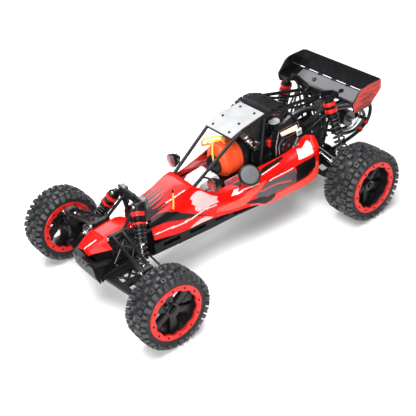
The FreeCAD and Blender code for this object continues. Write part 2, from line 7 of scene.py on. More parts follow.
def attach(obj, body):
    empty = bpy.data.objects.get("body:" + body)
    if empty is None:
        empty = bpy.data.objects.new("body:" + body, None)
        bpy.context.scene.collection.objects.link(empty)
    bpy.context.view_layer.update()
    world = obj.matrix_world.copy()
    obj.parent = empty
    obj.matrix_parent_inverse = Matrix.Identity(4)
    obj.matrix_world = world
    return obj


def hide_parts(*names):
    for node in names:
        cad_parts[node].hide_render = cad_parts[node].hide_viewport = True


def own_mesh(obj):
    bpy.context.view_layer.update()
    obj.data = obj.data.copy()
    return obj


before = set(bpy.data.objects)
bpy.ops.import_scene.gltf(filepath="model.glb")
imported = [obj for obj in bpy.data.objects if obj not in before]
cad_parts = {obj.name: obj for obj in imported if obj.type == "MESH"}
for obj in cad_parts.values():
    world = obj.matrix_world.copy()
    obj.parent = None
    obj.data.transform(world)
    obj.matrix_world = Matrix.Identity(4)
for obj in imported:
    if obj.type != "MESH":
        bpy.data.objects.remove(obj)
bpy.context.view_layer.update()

# Lengths are in millimetres from the middle of the wheelbase at ground level.
MID_Y = -46.5
HALF_BASE = 285.5
AXLE_Z = 85.0
SIDES = (("left", False), ("right", True))   # name, and whether it is the mirror image of what is drawn

CAMERA_ANGLES = (56.07, 35.11, -8.0)         # azimuth, elevation and roll in degrees
CAMERA_AT = (1357.3, -933.6, 1233.6)
CAMERA_LENS = 76.14


def pt(x, y, z):
    """A point of this script in the frame's metres."""
    return Vector((x, y + MID_Y, z)) * 0.001


def turns(count):
    """Angles evenly spaced round a circle."""
    return [2 * math.pi * i / count for i in range(count)]


def round_axis(axis, radius, angle):
    """The step from an axis out to a radius, at an angle round the axis."""
    u = axis.orthogonal().normalized()
    return (u * math.cos(angle) + axis.cross(u) * math.sin(angle)) * radius


def link(name, data):
    """A new object in the scene."""
    made = bpy.data.objects.new(name, data)
    bpy.context.scene.collection.objects.link(made)
    return made


# ---------------------------------------------------------------- camera, floor and light

def aim_camera():
    """A camera with the direction, roll, place and lens of the photo."""
    az, el, roll = (math.radians(angle) for angle in CAMERA_ANGLES)
    back = Vector((math.sin(az) * math.cos(el), -math.cos(az) * math.cos(el), math.sin(el)))
    right = Vector((math.cos(az), math.sin(az), 0))
    up = back.cross(right)
    across = math.cos(roll) * right + math.sin(roll) * up
    upright = -math.sin(roll) * right + math.cos(roll) * up
    data = bpy.data.cameras.new("camera")
    data.sensor_width = 36.0
    data.lens = CAMERA_LENS
    data.clip_start = 0.05
    data.clip_end = 60
    camera = link("camera", data)
    turn = Matrix((across, upright, back)).transposed().to_4x4()
    camera.matrix_world = Matrix.Translation(pt(*CAMERA_AT)) @ turn
    bpy.context.scene.camera = camera


def area_light(name, at, size, watts):
    """A rectangular light aimed at the middle of the car."""
    data = bpy.data.lights.new(name, "AREA")
    data.shape = "RECTANGLE"
    data.size, data.size_y = size
    data.energy = watts
    lamp = link(name, data)
    lamp.location = pt(*at)
    lamp.rotation_mode = "QUATERNION"
    lamp.rotation_quaternion = (pt(0, 0, 100) - lamp.location).to_track_quat("-Z", "Y")


def studio():
    scene = bpy.context.scene
    scene.view_settings.view_transform = "Standard"
    world = bpy.data.worlds.new("studio")
    scene.world = world
    world.use_nodes = True
    tune(world.node_tree.nodes["Background"], {"Color": (1.0, 1.0, 1.0, 1.0), "Strength": 0.22})
    area_light("top_light", (100, -200, 1700), (1.6, 1.6), 58)
    area_light("key_light", (1500, -1500, 1100), (1.2, 1.0), 40)
    area_light("rim_light", (-1500, 300, 1400), (1.0, 0.6), 20)
    mesh = bpy.data.meshes.new("floor")
    half = 8
    mesh.from_pydata([(-half, -half, 0), (half, -half, 0), (half, half, 0), (-half, half, 0)], [], [(0, 1, 2, 3)])
    mat = new_material("floor_paper")
    tree, shader = mat.node_tree, shader_of(mat)
    noise = node(tree, "ShaderNodeTexNoise", {"Scale": 40.0, "Detail": 4.0})
    colour_ramp(tree, noise.outputs["Fac"], shader.inputs["Base Color"], (0.3, (0.93, 0.93, 0.93)),
                (0.7, (0.96, 0.96, 0.96)))
    tune(shader, {"Roughness": 0.9, "Specular IOR Level": 0.1})
    mesh.materials.append(mat)
    link("floor", mesh)


# ---------------------------------------------------------------- materials

def new_material(name):
    mat = bpy.data.materials.new(name)
    mat.use_nodes = True
    return mat


def shader_of(mat):
    return mat.node_tree.nodes["Principled BSDF"]


def tune(shader_node, values):
    """Sets inputs of a shader node by their names."""
    for key, value in values.items():
        shader_node.inputs[key].default_value = value
    return shader_node


def node(tree, kind, values):
    return tune(tree.nodes.new(kind), values)


def colour_ramp(tree, value, target, *stops):
    """Turns a value into a colour between two (place, colour) stops."""
    ramp = tree.nodes.new("ShaderNodeValToRGB")
    for element, (place, colour) in zip(ramp.color_ramp.elements, stops):
        element.position = place
        element.color = (*colour, 1)
    tree.links.new(value, ramp.inputs["Fac"])
    tree.links.new(ramp.outputs["Color"], target)


def object_coords(tree):
    return tree.nodes.new("ShaderNodeTexCoord").outputs["Object"]


def surface(name, dark, light, scale, rough=(0.4, 0.5), metallic=0.0, bump=0.0, bump_scale=900.0, coat=0.0,
            specular=0.5):
    """A moulded, painted or metal surface whose colour, roughness and relief vary with noise."""
    mat = new_material(name)
    tree, shader = mat.node_tree, shader_of(mat)
    coords = object_coords(tree)
    noise = node(tree, "ShaderNodeTexNoise", {"Scale": scale, "Detail": 4.0, "Roughness": 0.6})
    tree.links.new(coords, noise.inputs["Vector"])
    colour_ramp(tree, noise.outputs["Fac"], shader.inputs["Base Color"], (0.35, dark), (0.65, light))
    spread = node(tree, "ShaderNodeMapRange", {"From Min": 0.3, "From Max": 0.7, "To Min": rough[0],
                                               "To Max": rough[1]})
    tree.links.new(noise.outputs["Fac"], spread.inputs["Value"])
    tree.links.new(spread.outputs["Result"], shader.inputs["Roughness"])
    tune(shader, {"Metallic": metallic, "Specular IOR Level": specular, "Coat Weight": coat,
                  "Coat Roughness": 0.05})
    if bump:
        grain = node(tree, "ShaderNodeTexNoise", {"Scale": bump_scale, "Detail": 3.0})
        tree.links.new(coords, grain.inputs["Vector"])
        relief = node(tree, "ShaderNodeBump", {"Strength": bump, "Distance": 0.0004})
        tree.links.new(grain.outputs["Fac"], relief.inputs["Height"])
        tree.links.new(relief.outputs["Normal"], shader.inputs["Normal"])
    return mat


def painted(name):
    """Gloss paint whose colour comes from the piece's own painted areas, with a faint unevenness."""
    mat = new_material(name)
    tree, shader = mat.node_tree, shader_of(mat)
    paint = tree.nodes.new("ShaderNodeAttribute")
    paint.attribute_name = "paint"
    noise = node(tree, "ShaderNodeTexNoise", {"Scale": 30.0, "Detail": 3.0})
    tree.links.new(object_coords(tree), noise.inputs["Vector"])
    shade = node(tree, "ShaderNodeMapRange", {"To Min": 0.92, "To Max": 1.06})
    tree.links.new(noise.outputs["Fac"], shade.inputs["Value"])
    mix = tree.nodes.new("ShaderNodeVectorMath")
    mix.operation = "SCALE"
    tree.links.new(paint.outputs["Color"], mix.inputs[0])
    tree.links.new(shade.outputs["Result"], mix.inputs["Scale"])
    tree.links.new(mix.outputs["Vector"], shader.inputs["Base Color"])
    tune(shader, {"Roughness": 0.36, "Coat Weight": 0.14, "Coat Roughness": 0.04, "Specular IOR Level": 0.14})
    return mat


RUBBER = surface("tyre_rubber", (0.008, 0.008, 0.009), (0.014, 0.014, 0.016), 160, (0.55, 0.7),
                 bump=0.35, bump_scale=1400, specular=0.3)
LUG = surface("tread_rubber", (0.016, 0.0165, 0.0185), (0.032, 0.033, 0.037), 140, (0.42, 0.6),
              bump=0.35, bump_scale=1400, specular=0.5)
BLACK = surface("moulded_black", (0.004, 0.004, 0.005), (0.008, 0.008, 0.009), 220, (0.36, 0.48),
                bump=0.2, bump_scale=1800, specular=0.16)
SATIN = surface("satin_black", (0.004, 0.004, 0.005), (0.008, 0.008, 0.009), 120, (0.26, 0.36), specular=0.28)
GLOSS_BLACK = surface("gloss_black", (0.004, 0.004, 0.005), (0.007, 0.007, 0.008), 60, (0.12, 0.2), specular=0.35)
ANODISED = surface("anodised_red", (0.56, 0.012, 0.010), (0.68, 0.020, 0.014), 90, (0.3, 0.42),
                   metallic=0.25, coat=0.12, specular=0.25)
STEEL = surface("bright_steel", (0.55, 0.55, 0.56), (0.72, 0.72, 0.73), 300, (0.18, 0.32), metallic=1.0)
DARK_STEEL = surface("dark_steel", (0.06, 0.06, 0.065), (0.12, 0.12, 0.125), 300, (0.3, 0.42), metallic=0.9)
ALLOY = surface("cast_alloy", (0.22, 0.22, 0.225), (0.34, 0.34, 0.345), 260, (0.35, 0.5), metallic=0.8,
                bump=0.3, bump_scale=1200)
ROOF = surface("roof_sheet", (0.28, 0.285, 0.29), (0.325, 0.33, 0.335), 45, (0.46, 0.54), bump=0.08, specular=0.25)
TANK = surface("tank_plastic", (0.76, 0.07, 0.014), (0.86, 0.095, 0.022), 35, (0.38, 0.48), specular=0.3)
CAP = surface("cap_plastic", (0.075, 0.08, 0.085), (0.10, 0.105, 0.11), 200, (0.42, 0.55), bump=0.2)
HOSE = surface("fuel_hose", (0.85, 0.42, 0.03), (0.95, 0.55, 0.06), 80, (0.25, 0.35), specular=0.6)
COIL = surface("coil_paint", (0.012, 0.012, 0.013), (0.024, 0.024, 0.026), 200, (0.18, 0.28), metallic=0.4,
               specular=0.8)
CREAM = surface("receiver_plastic", (0.74, 0.75, 0.76), (0.86, 0.87, 0.88), 60, (0.25, 0.4), coat=0.3)
LENS = surface("lamp_lens", (0.26, 0.02, 0.015), (0.36, 0.05, 0.04), 120, (0.2, 0.3), coat=0.4)
LABEL = surface("blank_label", (0.72, 0.76, 0.52), (0.86, 0.88, 0.74), 70, (0.3, 0.4), coat=0.4)
# Painted reflection: a dark grey for the sheet that stands in for the light reflected by the wing's glossy black
# main plane.
PAINTED_REFLECTION = surface("painted_reflection_grey", (0.085, 0.085, 0.09), (0.115, 0.115, 0.12), 400, (0.36, 0.46), specular=0.3)
INNER_PANEL = surface("inner_panel_pink", (0.42, 0.10, 0.12), (0.55, 0.18, 0.20), 60, (0.3, 0.4), coat=0.4)
PAINT = painted("body_paint")

aim_camera()
studio()


# ---------------------------------------------------------------- mesh tools

class Shape:
    """Collects faces in millimetres, each with one of its materials, and turns them into one piece."""

    def __init__(self, *materials):
        self.materials = materials
        self.points, self.faces, self.slots = [], [], []

    def add(self, points, faces, mat=None):
        start = len(self.points)
        self.points += [tuple(p) for p in points]
        self.faces += [tuple(i + start for i in f) for f in faces]
        self.slots += [self.materials.index(mat or self.materials[0])] * len(faces)

    def loops(self, rings, mat=None, close=True, cap=True, wrap=False):
        """Joins rings of equally many points. close joins each ring's ends, and wrap the last ring to the first."""
        n = len(rings[0])
        points = [p for ring in rings for p in ring]
        faces = []
        count = len(rings) if wrap else len(rings) - 1
        for i in range(count):
            a, b = i * n, ((i + 1) % len(rings)) * n
            for j in range(n if close else n - 1):
                k = (j + 1) % n
                faces.append((a + j, a + k, b + k, b + j))
        if cap and close and not wrap:
            faces.append(tuple(reversed(range(n))))
            faces.append(tuple(range((len(rings) - 1) * n, len(rings) * n)))
        self.add(points, faces, mat)

    def lathe(self, centre, axis, profile, seg=32, mat=None, wrap=False):
        """profile is (distance along the axis, radius) points."""
        c, a = Vector(centre), Vector(axis).normalized()
        u = a.orthogonal().normalized()
        w = a.cross(u)
        out = [u * math.cos(t) + w * math.sin(t) for t in turns(seg)]
        self.loops([[c + a * d + step * max(r, 0.01) for step in out] for d, r in profile], mat, wrap=wrap)

    def rod(self, p, q, r, seg=16, mat=None):
        """A round bar with chamfered ends."""
        p, q = Vector(p), Vector(q)
        n = (q - p).length
        c = min(0.4, r * 0.4, n * 0.2)
        self.lathe(p, q - p, [(0, r - c), (c, r), (n - c, r), (n, r - c)], seg, mat)

    def bolt(self, at, axis, r=2.6, h=2.4, mat=None):
        """A cap screw head with a hexagon socket."""
        self.lathe(at, axis, [(0, r), (h * 0.8, r), (h, r * 0.85), (h, r * 0.55), (h * 0.35, r * 0.5)], 12, mat)

    def ribs(self, centre, axis, radius, count, length, r, mat=None):
        """Fine ribs that lie along an axis, evenly round it."""
        for t in turns(count):
            foot = centre + round_axis(axis, radius, t)
            self.rod(foot, foot + axis * length, r, 6, mat)

    def block(self, low, high, mat=None, chamfer=0.8):
        """A box with all its edges chamfered."""
        size = [b - a for a, b in zip(low, high)]
        c = min(chamfer, min(size) * 0.3)
        rings = []
        for z, e in ((low[2], c), (low[2] + c, 0), (high[2] - c, 0), (high[2], c)):
            x0, x1, y0, y1 = low[0] + e, high[0] - e, low[1] + e, high[1] - e
            rings.append([(x0 + c, y0, z), (x1 - c, y0, z), (x1, y0 + c, z), (x1, y1 - c, z),
                          (x1 - c, y1, z), (x0 + c, y1, z), (x0, y1 - c, z), (x0, y0 + c, z)])
        self.loops(rings, mat)

    def tube(self, points, r, seg=12, mat=None, smooth=0, squash=1.0):
        """A round tube through points; smooth adds that many points a run along a smooth curve."""
        path = curve_through(points, smooth) if smooth else [Vector(p) for p in points]
        rings = []
        side = None
        for i, p in enumerate(path):
            a = path[max(i - 1, 0)]
            b = path[min(i + 1, len(path) - 1)]
            along = (b - a).normalized()
            if side is None:
                side = along.orthogonal().normalized()
            side = (side - along * side.dot(along)).normalized()
            other = along.cross(side)
            rings.append([p + side * math.cos(t) * r + other * math.sin(t) * r * squash for t in turns(seg)])
        self.loops(rings, mat)

    def make(self, name, body, slot, replaces=(), smooth=32.0, flip=False):
        """The finished piece. smooth is the largest angle in degrees that is shaded as a curve."""
        mesh = bpy.data.meshes.new(name)
        points = [(-x, y, z) for x, y, z in self.points] if flip else self.points
        faces = [tuple(reversed(f)) for f in self.faces] if flip else self.faces
        mesh.from_pydata([pt(*p) for p in points], [], faces)
        for mat in self.materials:
            mesh.materials.append(mat)
        mesh.polygons.foreach_set("material_index", self.slots)
        mesh.validate()
        mesh.shade_smooth()
        mesh.set_sharp_from_angle(angle=math.radians(smooth))
        piece = link(name, mesh)
        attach(piece, body)
        if replaces:
            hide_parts(*replaces)
        return piece


def curve_through(points, steps):
    """A smooth (Catmull-Rom) line through points, with that many steps from each to the next."""
    pts = [Vector(p) for p in points]
    ends = [pts[0] * 2 - pts[1]] + pts + [pts[-1] * 2 - pts[-2]]
    out = []
    for i in range(1, len(ends) - 2):
        a, b, c, d = ends[i - 1], ends[i], ends[i + 1], ends[i + 2]
        for s in range(steps):
            t = s / steps
            out.append(0.5 * ((2 * b) + (c - a) * t + (2 * a - 5 * b + 4 * c - d) * t * t
                              + (3 * b - a - 3 * c + d) * t * t * t))
    out.append(pts[-1])
    return out


# ---------------------------------------------------------------- wheels

TREAD_R = 77.5   # radius that distances round a tyre are measured at
PITCHES = 17


def on_wheel(x, y, r, angle):
    """A point at a radius and an angle round the axle at y."""
    return (x, y + r * math.cos(angle), AXLE_Z + r * math.sin(angle))


class Tread:
    """A tyre section as a line of (x, radius) points, x from the middle of the tyre, that tread blocks sit on."""

    NARROW_HALF = 30.0
    SECTION = ((24, 57.5), (27.4, 60), (28.3, 64), (28.5, 69), (28, 73.6), (25.4, 76.4), (16, 77.5))

    def __init__(self, half_width, centre_x, y):
        self.k, self.cx, self.y = half_width / self.NARROW_HALF, centre_x, y
        self.line = [(-x * self.k, r) for x, r in self.SECTION] + [(0, 77.8)]
        self.line += [(x * self.k, r) for x, r in reversed(self.SECTION)]
        self.reach = [0.0]
        for (x0, r0), (x1, r1) in zip(self.line, self.line[1:]):
            self.reach.append(self.reach[-1] + math.hypot(x1 - x0, r1 - r0))
        middle = self.reach[len(self.SECTION)]
        self.reach = [s - middle for s in self.reach]

    def at(self, s, angle, height):
        """The point s mm across the section from its middle, at that angle round the tyre, raised by height."""
        i = 0
        while i < len(self.reach) - 2 and self.reach[i + 1] < s:
            i += 1
        t = (s - self.reach[i]) / (self.reach[i + 1] - self.reach[i])

        def normal(j):
            (x0, r0), (x1, r1) = self.line[max(j - 1, 0)], self.line[min(j + 1, len(self.line) - 1)]
            return Vector((r0 - r1, x1 - x0)).normalized()
        n = (normal(i) * (1 - t) + normal(i + 1) * t).normalized()
        height *= 1 - 0.3 * min(max((abs(s) - 27.5 * self.k) / 8, 0), 1)   # lower on the sidewall
        x, r = Vector(self.line[i]).lerp(Vector(self.line[i + 1]), t) + n * height
        return on_wheel(self.cx + x, self.y, r, angle)

    def spread(self, s):
        """A place across the narrow tyre moved to the same place on this one; the shoulders keep their size."""
        flat = 25.0
        return s * self.k if abs(s) < flat else math.copysign(flat * self.k + abs(s) - flat, s)

    def lug(self, shape, s0, s1, a0, a1, height, hollow, skew):
        """A tread block between s0 and s1 across and a0 and a1 (mm round the tyre), with sloped sides."""
        def ring(inset, h):
            c = 1.4
            x0, x1, y0, y1 = s0 + inset, s1 - inset, a0 + inset, a1 - inset
            corners = ((x0 + c, y0), ((x0 + x1) / 2, y0), (x1 - c, y0), (x1, y0 + c), (x1, y1 - c), (x1 - c, y1),
                       ((x0 + x1) / 2, y1), (x0 + c, y1), (x0, y1 - c), (x0, y0 + c))
            return [self.at(s, (a + skew * (s - (s0 + s1) / 2)) / TREAD_R, h) for s, a in corners]
        rings = [ring(-0.9, -0.6), ring(0.0, height * 0.8), ring(0.6, height)]
        if hollow:
            wide = min(s1 - s0, a1 - a0) * 0.27
            rings += [ring(wide, height), ring(wide + 0.4, height * 0.35)]
        shape.loops(rings, LUG, cap=False)
        shape.faces.append(tuple(range(len(shape.points) - 10, len(shape.points))))
        shape.slots.append(shape.materials.index(LUG))


def tread_rows():
    """Tread blocks of one pitch: across from, to, round from, to (parts of a pitch), height, hollow, skew."""
    rows = []
    for side in (-1, 1):
        lead = 0.25 * (side + 1)
        for s0, s1, a0, a1, height, hollow in (
                (1.5, 9.6, 0.02, 0.36, 7.4, False), (12.2, 21.8, -0.12, 0.24, 7.2, True),
                (12.0, 20.4, 0.46, 0.74, 7.0, False), (23.8, 31.8, 0.04, 0.40, 7.6, False),
                (23.2, 29.4, 0.57, 0.84, 7.2, False)):
            low, high = sorted((side * s0, side * s1))
            rows.append((low, high, a0 + lead, a1 + lead, height, hollow, 0.12 * side))
    return rows


def make_tyre(corner, half_width, centre_x, y, flip):
    """The plain tyre section turned round the axle, with its tread blocks. corner is such as "front_left_"."""
    tread = Tread(half_width, centre_x, y)
    shape = Shape(RUBBER, LUG)
    rings = [[on_wheel(centre_x + x, y, r, t) for x, r in tread.line] for t in turns(96)]
    shape.loops(rings, close=False, cap=False, wrap=True)
    step = 2 * math.pi * TREAD_R / PITCHES
    for i in range(PITCHES):
        for s0, s1, a0, a1, height, hollow, skew in tread_rows():
            tread.lug(shape, tread.spread(s0), tread.spread(s1), (i + a0) * step, (i + a1) * step, height, hollow,
                      skew)
    shape.make(corner + "knobbly_tyre", corner + "wheel", "tyre", [corner + "tyre"], smooth=28, flip=flip)


def make_rim(corner, out, inner, y, web, hub_hole, flip):
    """The moulded rim with its six spokes and hub, between x = inner and x = out, with its spokes at x = web."""
    shape = Shape(SATIN, DARK_STEEL, BLACK)
    centre, axis = Vector((0, y, AXLE_Z)), (1, 0, 0)
    shape.lathe(centre, axis, [
        (inner + 3, 54), (inner + 3, 57.5), (inner + 6, 57.5), (inner + 9, 55.5), (out - 10, 55.5), (out - 7, 57.5),
        (out - 5.8, 57.5), (out - 5.8, 50.5), (out - 9, 49.2), (web + 9, 48.6), (web + 5, 48.2), (web - 3, 49.5),
        (inner + 8, 51.5)], 72, wrap=True)
    shape.lathe(centre, axis, [(web - 7, hub_hole + 0.5), (web - 7, 15), (web - 4, 17), (web + 8, 17),
                               (web + 10, 15.5),
                               (web + 10, hub_hole + 0.5)], 36, wrap=True)
    for a in turns(6):
        u, w = Vector((0, math.sin(a), math.cos(a))), Vector((0, math.cos(a), -math.sin(a)))
        rings = []
        for r, half, low, high in ((13, 8, -3, 8), (20, 8.2, -2.5, 9), (34, 8.8, -2.5, 9.5), (43, 10.8, -3, 10),
                                   (49.6, 15, -3.5, 10.5)):
            rings.append([centre + Vector((web + x, 0, 0)) + u * r + w * half * k for x, k in (
                (low, -0.8), (low, 0.8), (low + 2, 1), (high - 1.5, 1), (high, 0.72), (high, -0.72),
                                                                                               (high - 1.5, -1),
                (low + 2, -1))])
        shape.loops(rings)
        stud = centre + Vector((web + 9.5, 0, 0)) + (u * math.cos(math.pi / 6) + w * math.sin(math.pi / 6)) * 12.2
        shape.lathe(stud, axis, [(0, 1.7), (1.0, 1.7), (1.2, 1.2)], 8, DARK_STEEL)
    shape.lathe(centre, axis, [(web + 9.6, 8.6), (web + 11.4, 8.8), (web + 11.6, 10.2), (web + 11.2, 10.6),
                               (web + 9.6, 10.8)], 36, DARK_STEEL, wrap=True)
    if corner.startswith("rear"):
        stub_axle(shape, centre, axis)
    shape.make(corner + "spoked_rim", corner + "wheel", "rim", [corner + "rim"], smooth=30, flip=flip)
    rings = Shape(ANODISED, BLACK)
    beadlock(rings, y, out - 5.6, out - 1.2, 1)
    beadlock(rings, y, inner + 5.4, inner + 1.2, -1)
    rings.make(corner + "spoked_beadlock_rings", corner + "wheel", "rim", smooth=30, flip=flip)


def stub_axle(shape, centre, axis):
    """The rear stub axle with its drive cup, nut and end."""
    shape.lathe(centre, axis, [(119.5, 7.5), (119.5, 9.5), (133.5, 9.5), (133.5, 8), (160.5, 8), (160.5, 11),
                               (184, 11)], 24, DARK_STEEL)
    shape.lathe(centre, axis, [(124, 0.1), (124, 7.4)], 24, DARK_STEEL)
    nut(shape, centre + Vector((201, 0, 0)), 12.0, 10.0, DARK_STEEL)
    shape.rod(centre + Vector((205, 0, 0)), centre + Vector((214, 0, 0)), 7.6, 24, BLACK)


def beadlock(shape, y, x0, x1, way):
    """A clamp ring whose inner edge swells round each of its twelve screws."""
    rings = [[], [], [], [], []]
    for t in turns(144):
        inner = 50.6 - 2.9 * (0.5 + 0.5 * math.cos(12 * t)) ** 1.5
        section = (x0, 62.3), (x1 - 0.8 * way, 62.3), (x1, 61.4), (x1, inner + 0.8), (x0, inner)
        for ring, (x, r) in zip(rings, section):
            ring.append(on_wheel(x, y, r, t))
    if way < 0:
        rings = [list(reversed(r)) for r in rings]
    shape.loops(rings, ANODISED, wrap=True)
    for t in turns(12):
        shape.lathe(on_wheel(x1 - 0.1 * way, y, 55.6, t), (way, 0, 0),
                    [(0, 2.5), (0.7, 2.5), (1.0, 2.0), (1.0, 1.2), (0.3, 1.1)], 10, BLACK)


def nut(shape, at, r, h, mat):
    """A serrated wheel nut with a stepped end."""
    ring = [Vector((0, k * math.cos(t), k * math.sin(t))) for t, k in zip(turns(24), [r * 0.94, r] * 12)]
    rings = []
    for d, k in ((0, 0.95), (1, 1), (h - 2.0, 1), (h - 1, 0.9), (h - 0.8, 0.62), (h - 3.5, 0.58)):
        rings.append([at + Vector((d, 0, 0)) + p * k for p in ring])
    shape.loops(rings, mat)


def wheels():
    for side, flip in SIDES:
        for end, y, half_width, middle, web, hub_hole in (("front", -HALF_BASE, 30.0, 205.5, 209.5, 6.2),
                                                          ("rear", HALF_BASE, 40.0, 184.0, 190.0, 8.0)):
            corner = f"{end}_{side}_"
            make_tyre(corner, half_width, middle, y, flip)
            make_rim(corner, middle + half_width, middle - half_width, y, web, hub_hole, flip)


wheels()


# ---------------------------------------------------------------- painted shells

RED = (0.60, 0.0025, 0.001)
DEEP = (0.30, 0.005, 0.004)
BLK = (0.003, 0.003, 0.0035)
GREY = (0.075, 0.066, 0.07)
SALMON = (0.80, 0.075, 0.05)
PINK = (0.88, 0.40, 0.40)
PALE = (0.92, 0.80, 0.80)

# Side of the body, by station along Y: (x, z) of the top corner, the shoulder, the body line and the bottom edge.
SIDE = [
    (-203.5, ((36, 163), (44, 158), (50, 150), (54, 124))),
    (-140, ((38, 177), (47, 170), (55, 160), (62, 114))),
    (-79, ((44, 190), (54, 168), (60, 150), (66, 112))),
    (-49, ((50, 166), (58, 158), (68, 140), (68, 108))),
    (4.5, ((58, 160), (70, 153), (84, 134), (80, 104))),
    (41, ((63, 166), (79, 161), (97, 146), (95, 106))),
    (75, ((65, 170), (84, 165), (103, 146), (97, 92))),
    (155, ((68, 170), (88, 165), (108, 147), (102, 91))),
    (196, ((72, 180), (92, 182), (110, 160), (105, 91))),
    (215, ((78, 196), (99, 203), (114, 178), (108, 100))),
    (222, ((82, 196), (102, 202), (114.5, 186), (109, 112)))]


POD_START = 5.0


def side_corners(y):
    """The four corners of the side at station y, joined smoothly from station to station."""
    i = 0
    while i < len(SIDE) - 2 and SIDE[i + 1][0] < y:
        i += 1
    before, a, b, after = SIDE[max(i - 1, 0)], SIDE[i], SIDE[i + 1], SIDE[min(i + 2, len(SIDE) - 1)]
    d = b[0] - a[0]
    t = min(max((y - a[0]) / d, 0), 1)
    corners = []
    for k in range(4):
        m0 = (Vector(b[1][k]) - Vector(before[1][k])) * (d / (b[0] - before[0]))
        m1 = (Vector(after[1][k]) - Vector(a[1][k])) * (d / (after[0] - a[0]))
        corners.append(Vector(a[1][k]) * (2 * t**3 - 3 * t**2 + 1) + m0 * (t**3 - 2 * t**2 + t)
                       + Vector(b[1][k]) * (3 * t**2 - 2 * t**3) + m1 * (t**3 - t**2))
    return corners


def side_point(corners, v):
    """The point at v, 0 at the top corner to 3 at the bottom edge, with the corners rounded."""
    def straight(w):
        w = min(max(w, 0), 3)
        i = min(int(w), 2)
        return corners[i].lerp(corners[i + 1], w - i)
    d = 0.16 * min(1, v / 0.2, (3 - v) / 0.2)
    return (straight(v - d) + straight(v) + straight(v + d)) / 3


def inside(y, v, outline):
    """Whether a point lies in an outline, by counting the edges beyond it."""
    hit = False
    for (y0, v0), (y1, v1) in zip(outline, outline[1:] + outline[:1]):
        if (v0 > v) != (v1 > v) and y < (y1 - y0) * (v - v0) / (v1 - v0) + y0:
            hit = not hit
    return hit


# Painted areas of the side: colour and outline in (y, v), later ones over earlier ones.
SIDE_PAINT = [
    (SALMON, [(-42, 2.25), (-19, 2.1), (16, 1.95), (44, 1.75), (78, 1.62), (60, 2.0), (40, 2.3), (20, 2.7),
              (-20, 2.7), (-48, 2.6)]),
    # Painted highlight: the lighter salmon lip along the bottom edge of the pod, where it curves under and catches
    # the light.
    (SALMON, [(30, 2.88), (75, 2.86), (106, 2.66), (154, 2.68), (203, 2.66), (216, 2.4), (222, 2.6), (222, 3.01),
              (30, 3.01)]),
    (BLK, [(-204, 0.3), (-178, 0.1), (-160, 0.7), (-150, 1.3), (-131, 2.0), (-106, 2.28), (-60, 2.76), (-98, 2.5),
           (-135, 2.4), (-169, 2.12), (-204, 1.75)]),
    (PINK, [(-78, 0.39), (-67, 0.30), (-57, 0.33), (-46, 0.9), (-35, 1.15), (-40, 1.5), (-37, 1.75), (-48, 1.85),
            (-60, 2.0),
            (-66, 2.3), (-76, 2.2), (-84, 2.32), (-95, 2.18), (-92, 1.8), (-99, 1.5), (-94, 1.1), (-98, 0.8),
            (-88, 0.55)]),
    # Painted highlight: the pink band along the bottom edge of the flank.
    (PINK, [(-118, 2.98), (-92, 2.78), (-75, 2.72), (-56, 2.88), (-66, 3.01), (-118, 3.01)]),
    (PALE, [(-6, 1.47), (7, 1.0), (16, 1.1), (9, 1.42), (27, 1.43), (44, 1.62), (60, 1.66), (76, 1.70), (44, 1.70),
            (26, 1.52), (8, 1.53)]),
    (BLK, [(8, 0.02), (34, 0.35), (31, 0.6), (20, 1.16)]),
    (BLK, [(70, 0.90), (88, 0.40), (120, 0.20), (150, 0.15), (150, 0.42), (134, 0.62), (100, 0.80), (78, 1.02)]),
    (PALE, [(74, 1.05), (102, 0.90), (131, 0.72), (131, 0.77), (102, 0.97), (74, 1.12)]),
    (DEEP, [(96, 1.60), (120, 1.40), (147, 1.25), (156, 1.20), (140, 1.40), (104, 1.72)]),
    (GREY, [(72, 1.83), (110, 1.84), (154, 1.85), (160, 2.55), (94, 2.57), (40, 2.50), (50, 2.20)]),
    (SALMON, [(53, 2.18), (82, 2.12), (105, 2.14), (142, 2.34), (142, 2.39), (104, 2.19), (82, 2.17), (53, 2.23)]),
    (PALE, [(84, 1.76), (118, 1.70), (153, 1.72), (153, 1.76), (118, 1.75), (84, 1.80)]),
    (BLK, [(158, 1.76), (180, 1.84), (211, 2.12), (213, 2.58), (191, 2.60), (156, 2.62)]),
    (BLK, [(22, 2.58), (60, 2.54), (96, 2.58), (94, 2.78), (80, 2.90), (60, 2.93), (42, 2.88), (28, 2.76)]),
    (PALE, [(185, 0.60), (192, 1.05), (199, 0.95), (207, 0.85), (210, 1.4), (208, 1.95), (190, 1.72), (174, 1.50),
            (180, 1.05)])]

# Thin pale lines: on the side in (y, v), and on the hood in (y, x).
PIN_LINE = [(-200, 2.52), (-174, 2.55), (-138, 2.60), (-109, 2.55), (-87, 2.40), (-66, 2.19), (-44, 1.98)]
HOOD_LINE = [(-146, 30.0), (-120, 34.5), (-98, 39.0)]

# Flames on the hood: x at the front edge and at the tip, y of the tip, half width at the front edge.
FLAMES = ((-31, -27, -128, 4.6), (-20, -17, -116, 5.2), (-9, -10, -110, 5.0), (3, 3, -118, 5.4),
          (15, 13, -124, 4.8),
          (27, 30, -134, 5.2), (34, 38, -140, 4.0))


def near_line(y, v, line, half):
    """Whether v is within half of a line of (y, v) points at y."""
    for (y0, v0), (y1, v1) in zip(line, line[1:]):
        if y0 <= y <= y1:
            return abs(v - v0 - (v1 - v0) * (y - y0) / (y1 - y0)) < half
    return False


def side_colour(y, v):
    """Colour of the side of the body at station y and v, as in side_point."""
    if near_line(y, v, PIN_LINE, 0.028):
        return PALE
    colour = RED
    for paint, outline in SIDE_PAINT:
        if inside(y, v, outline):
            colour = paint
    return colour


def streak(x, y):
    """Whether black covers the hood here: flames that run back from a wavy front edge."""
    for x0, x1, tip, half in FLAMES:
        t = (y + 180) / (tip + 180)
        wobble = 1.3 * math.sin(y * 0.35 + x0)
        if t < 1 and abs(x - x0 - (x1 - x0 + wobble) * max(t, 0)) < half * (1 - max(t, 0)) ** 0.8:
            return True
    return y < -176 + 5 * math.sin(x * 0.31)


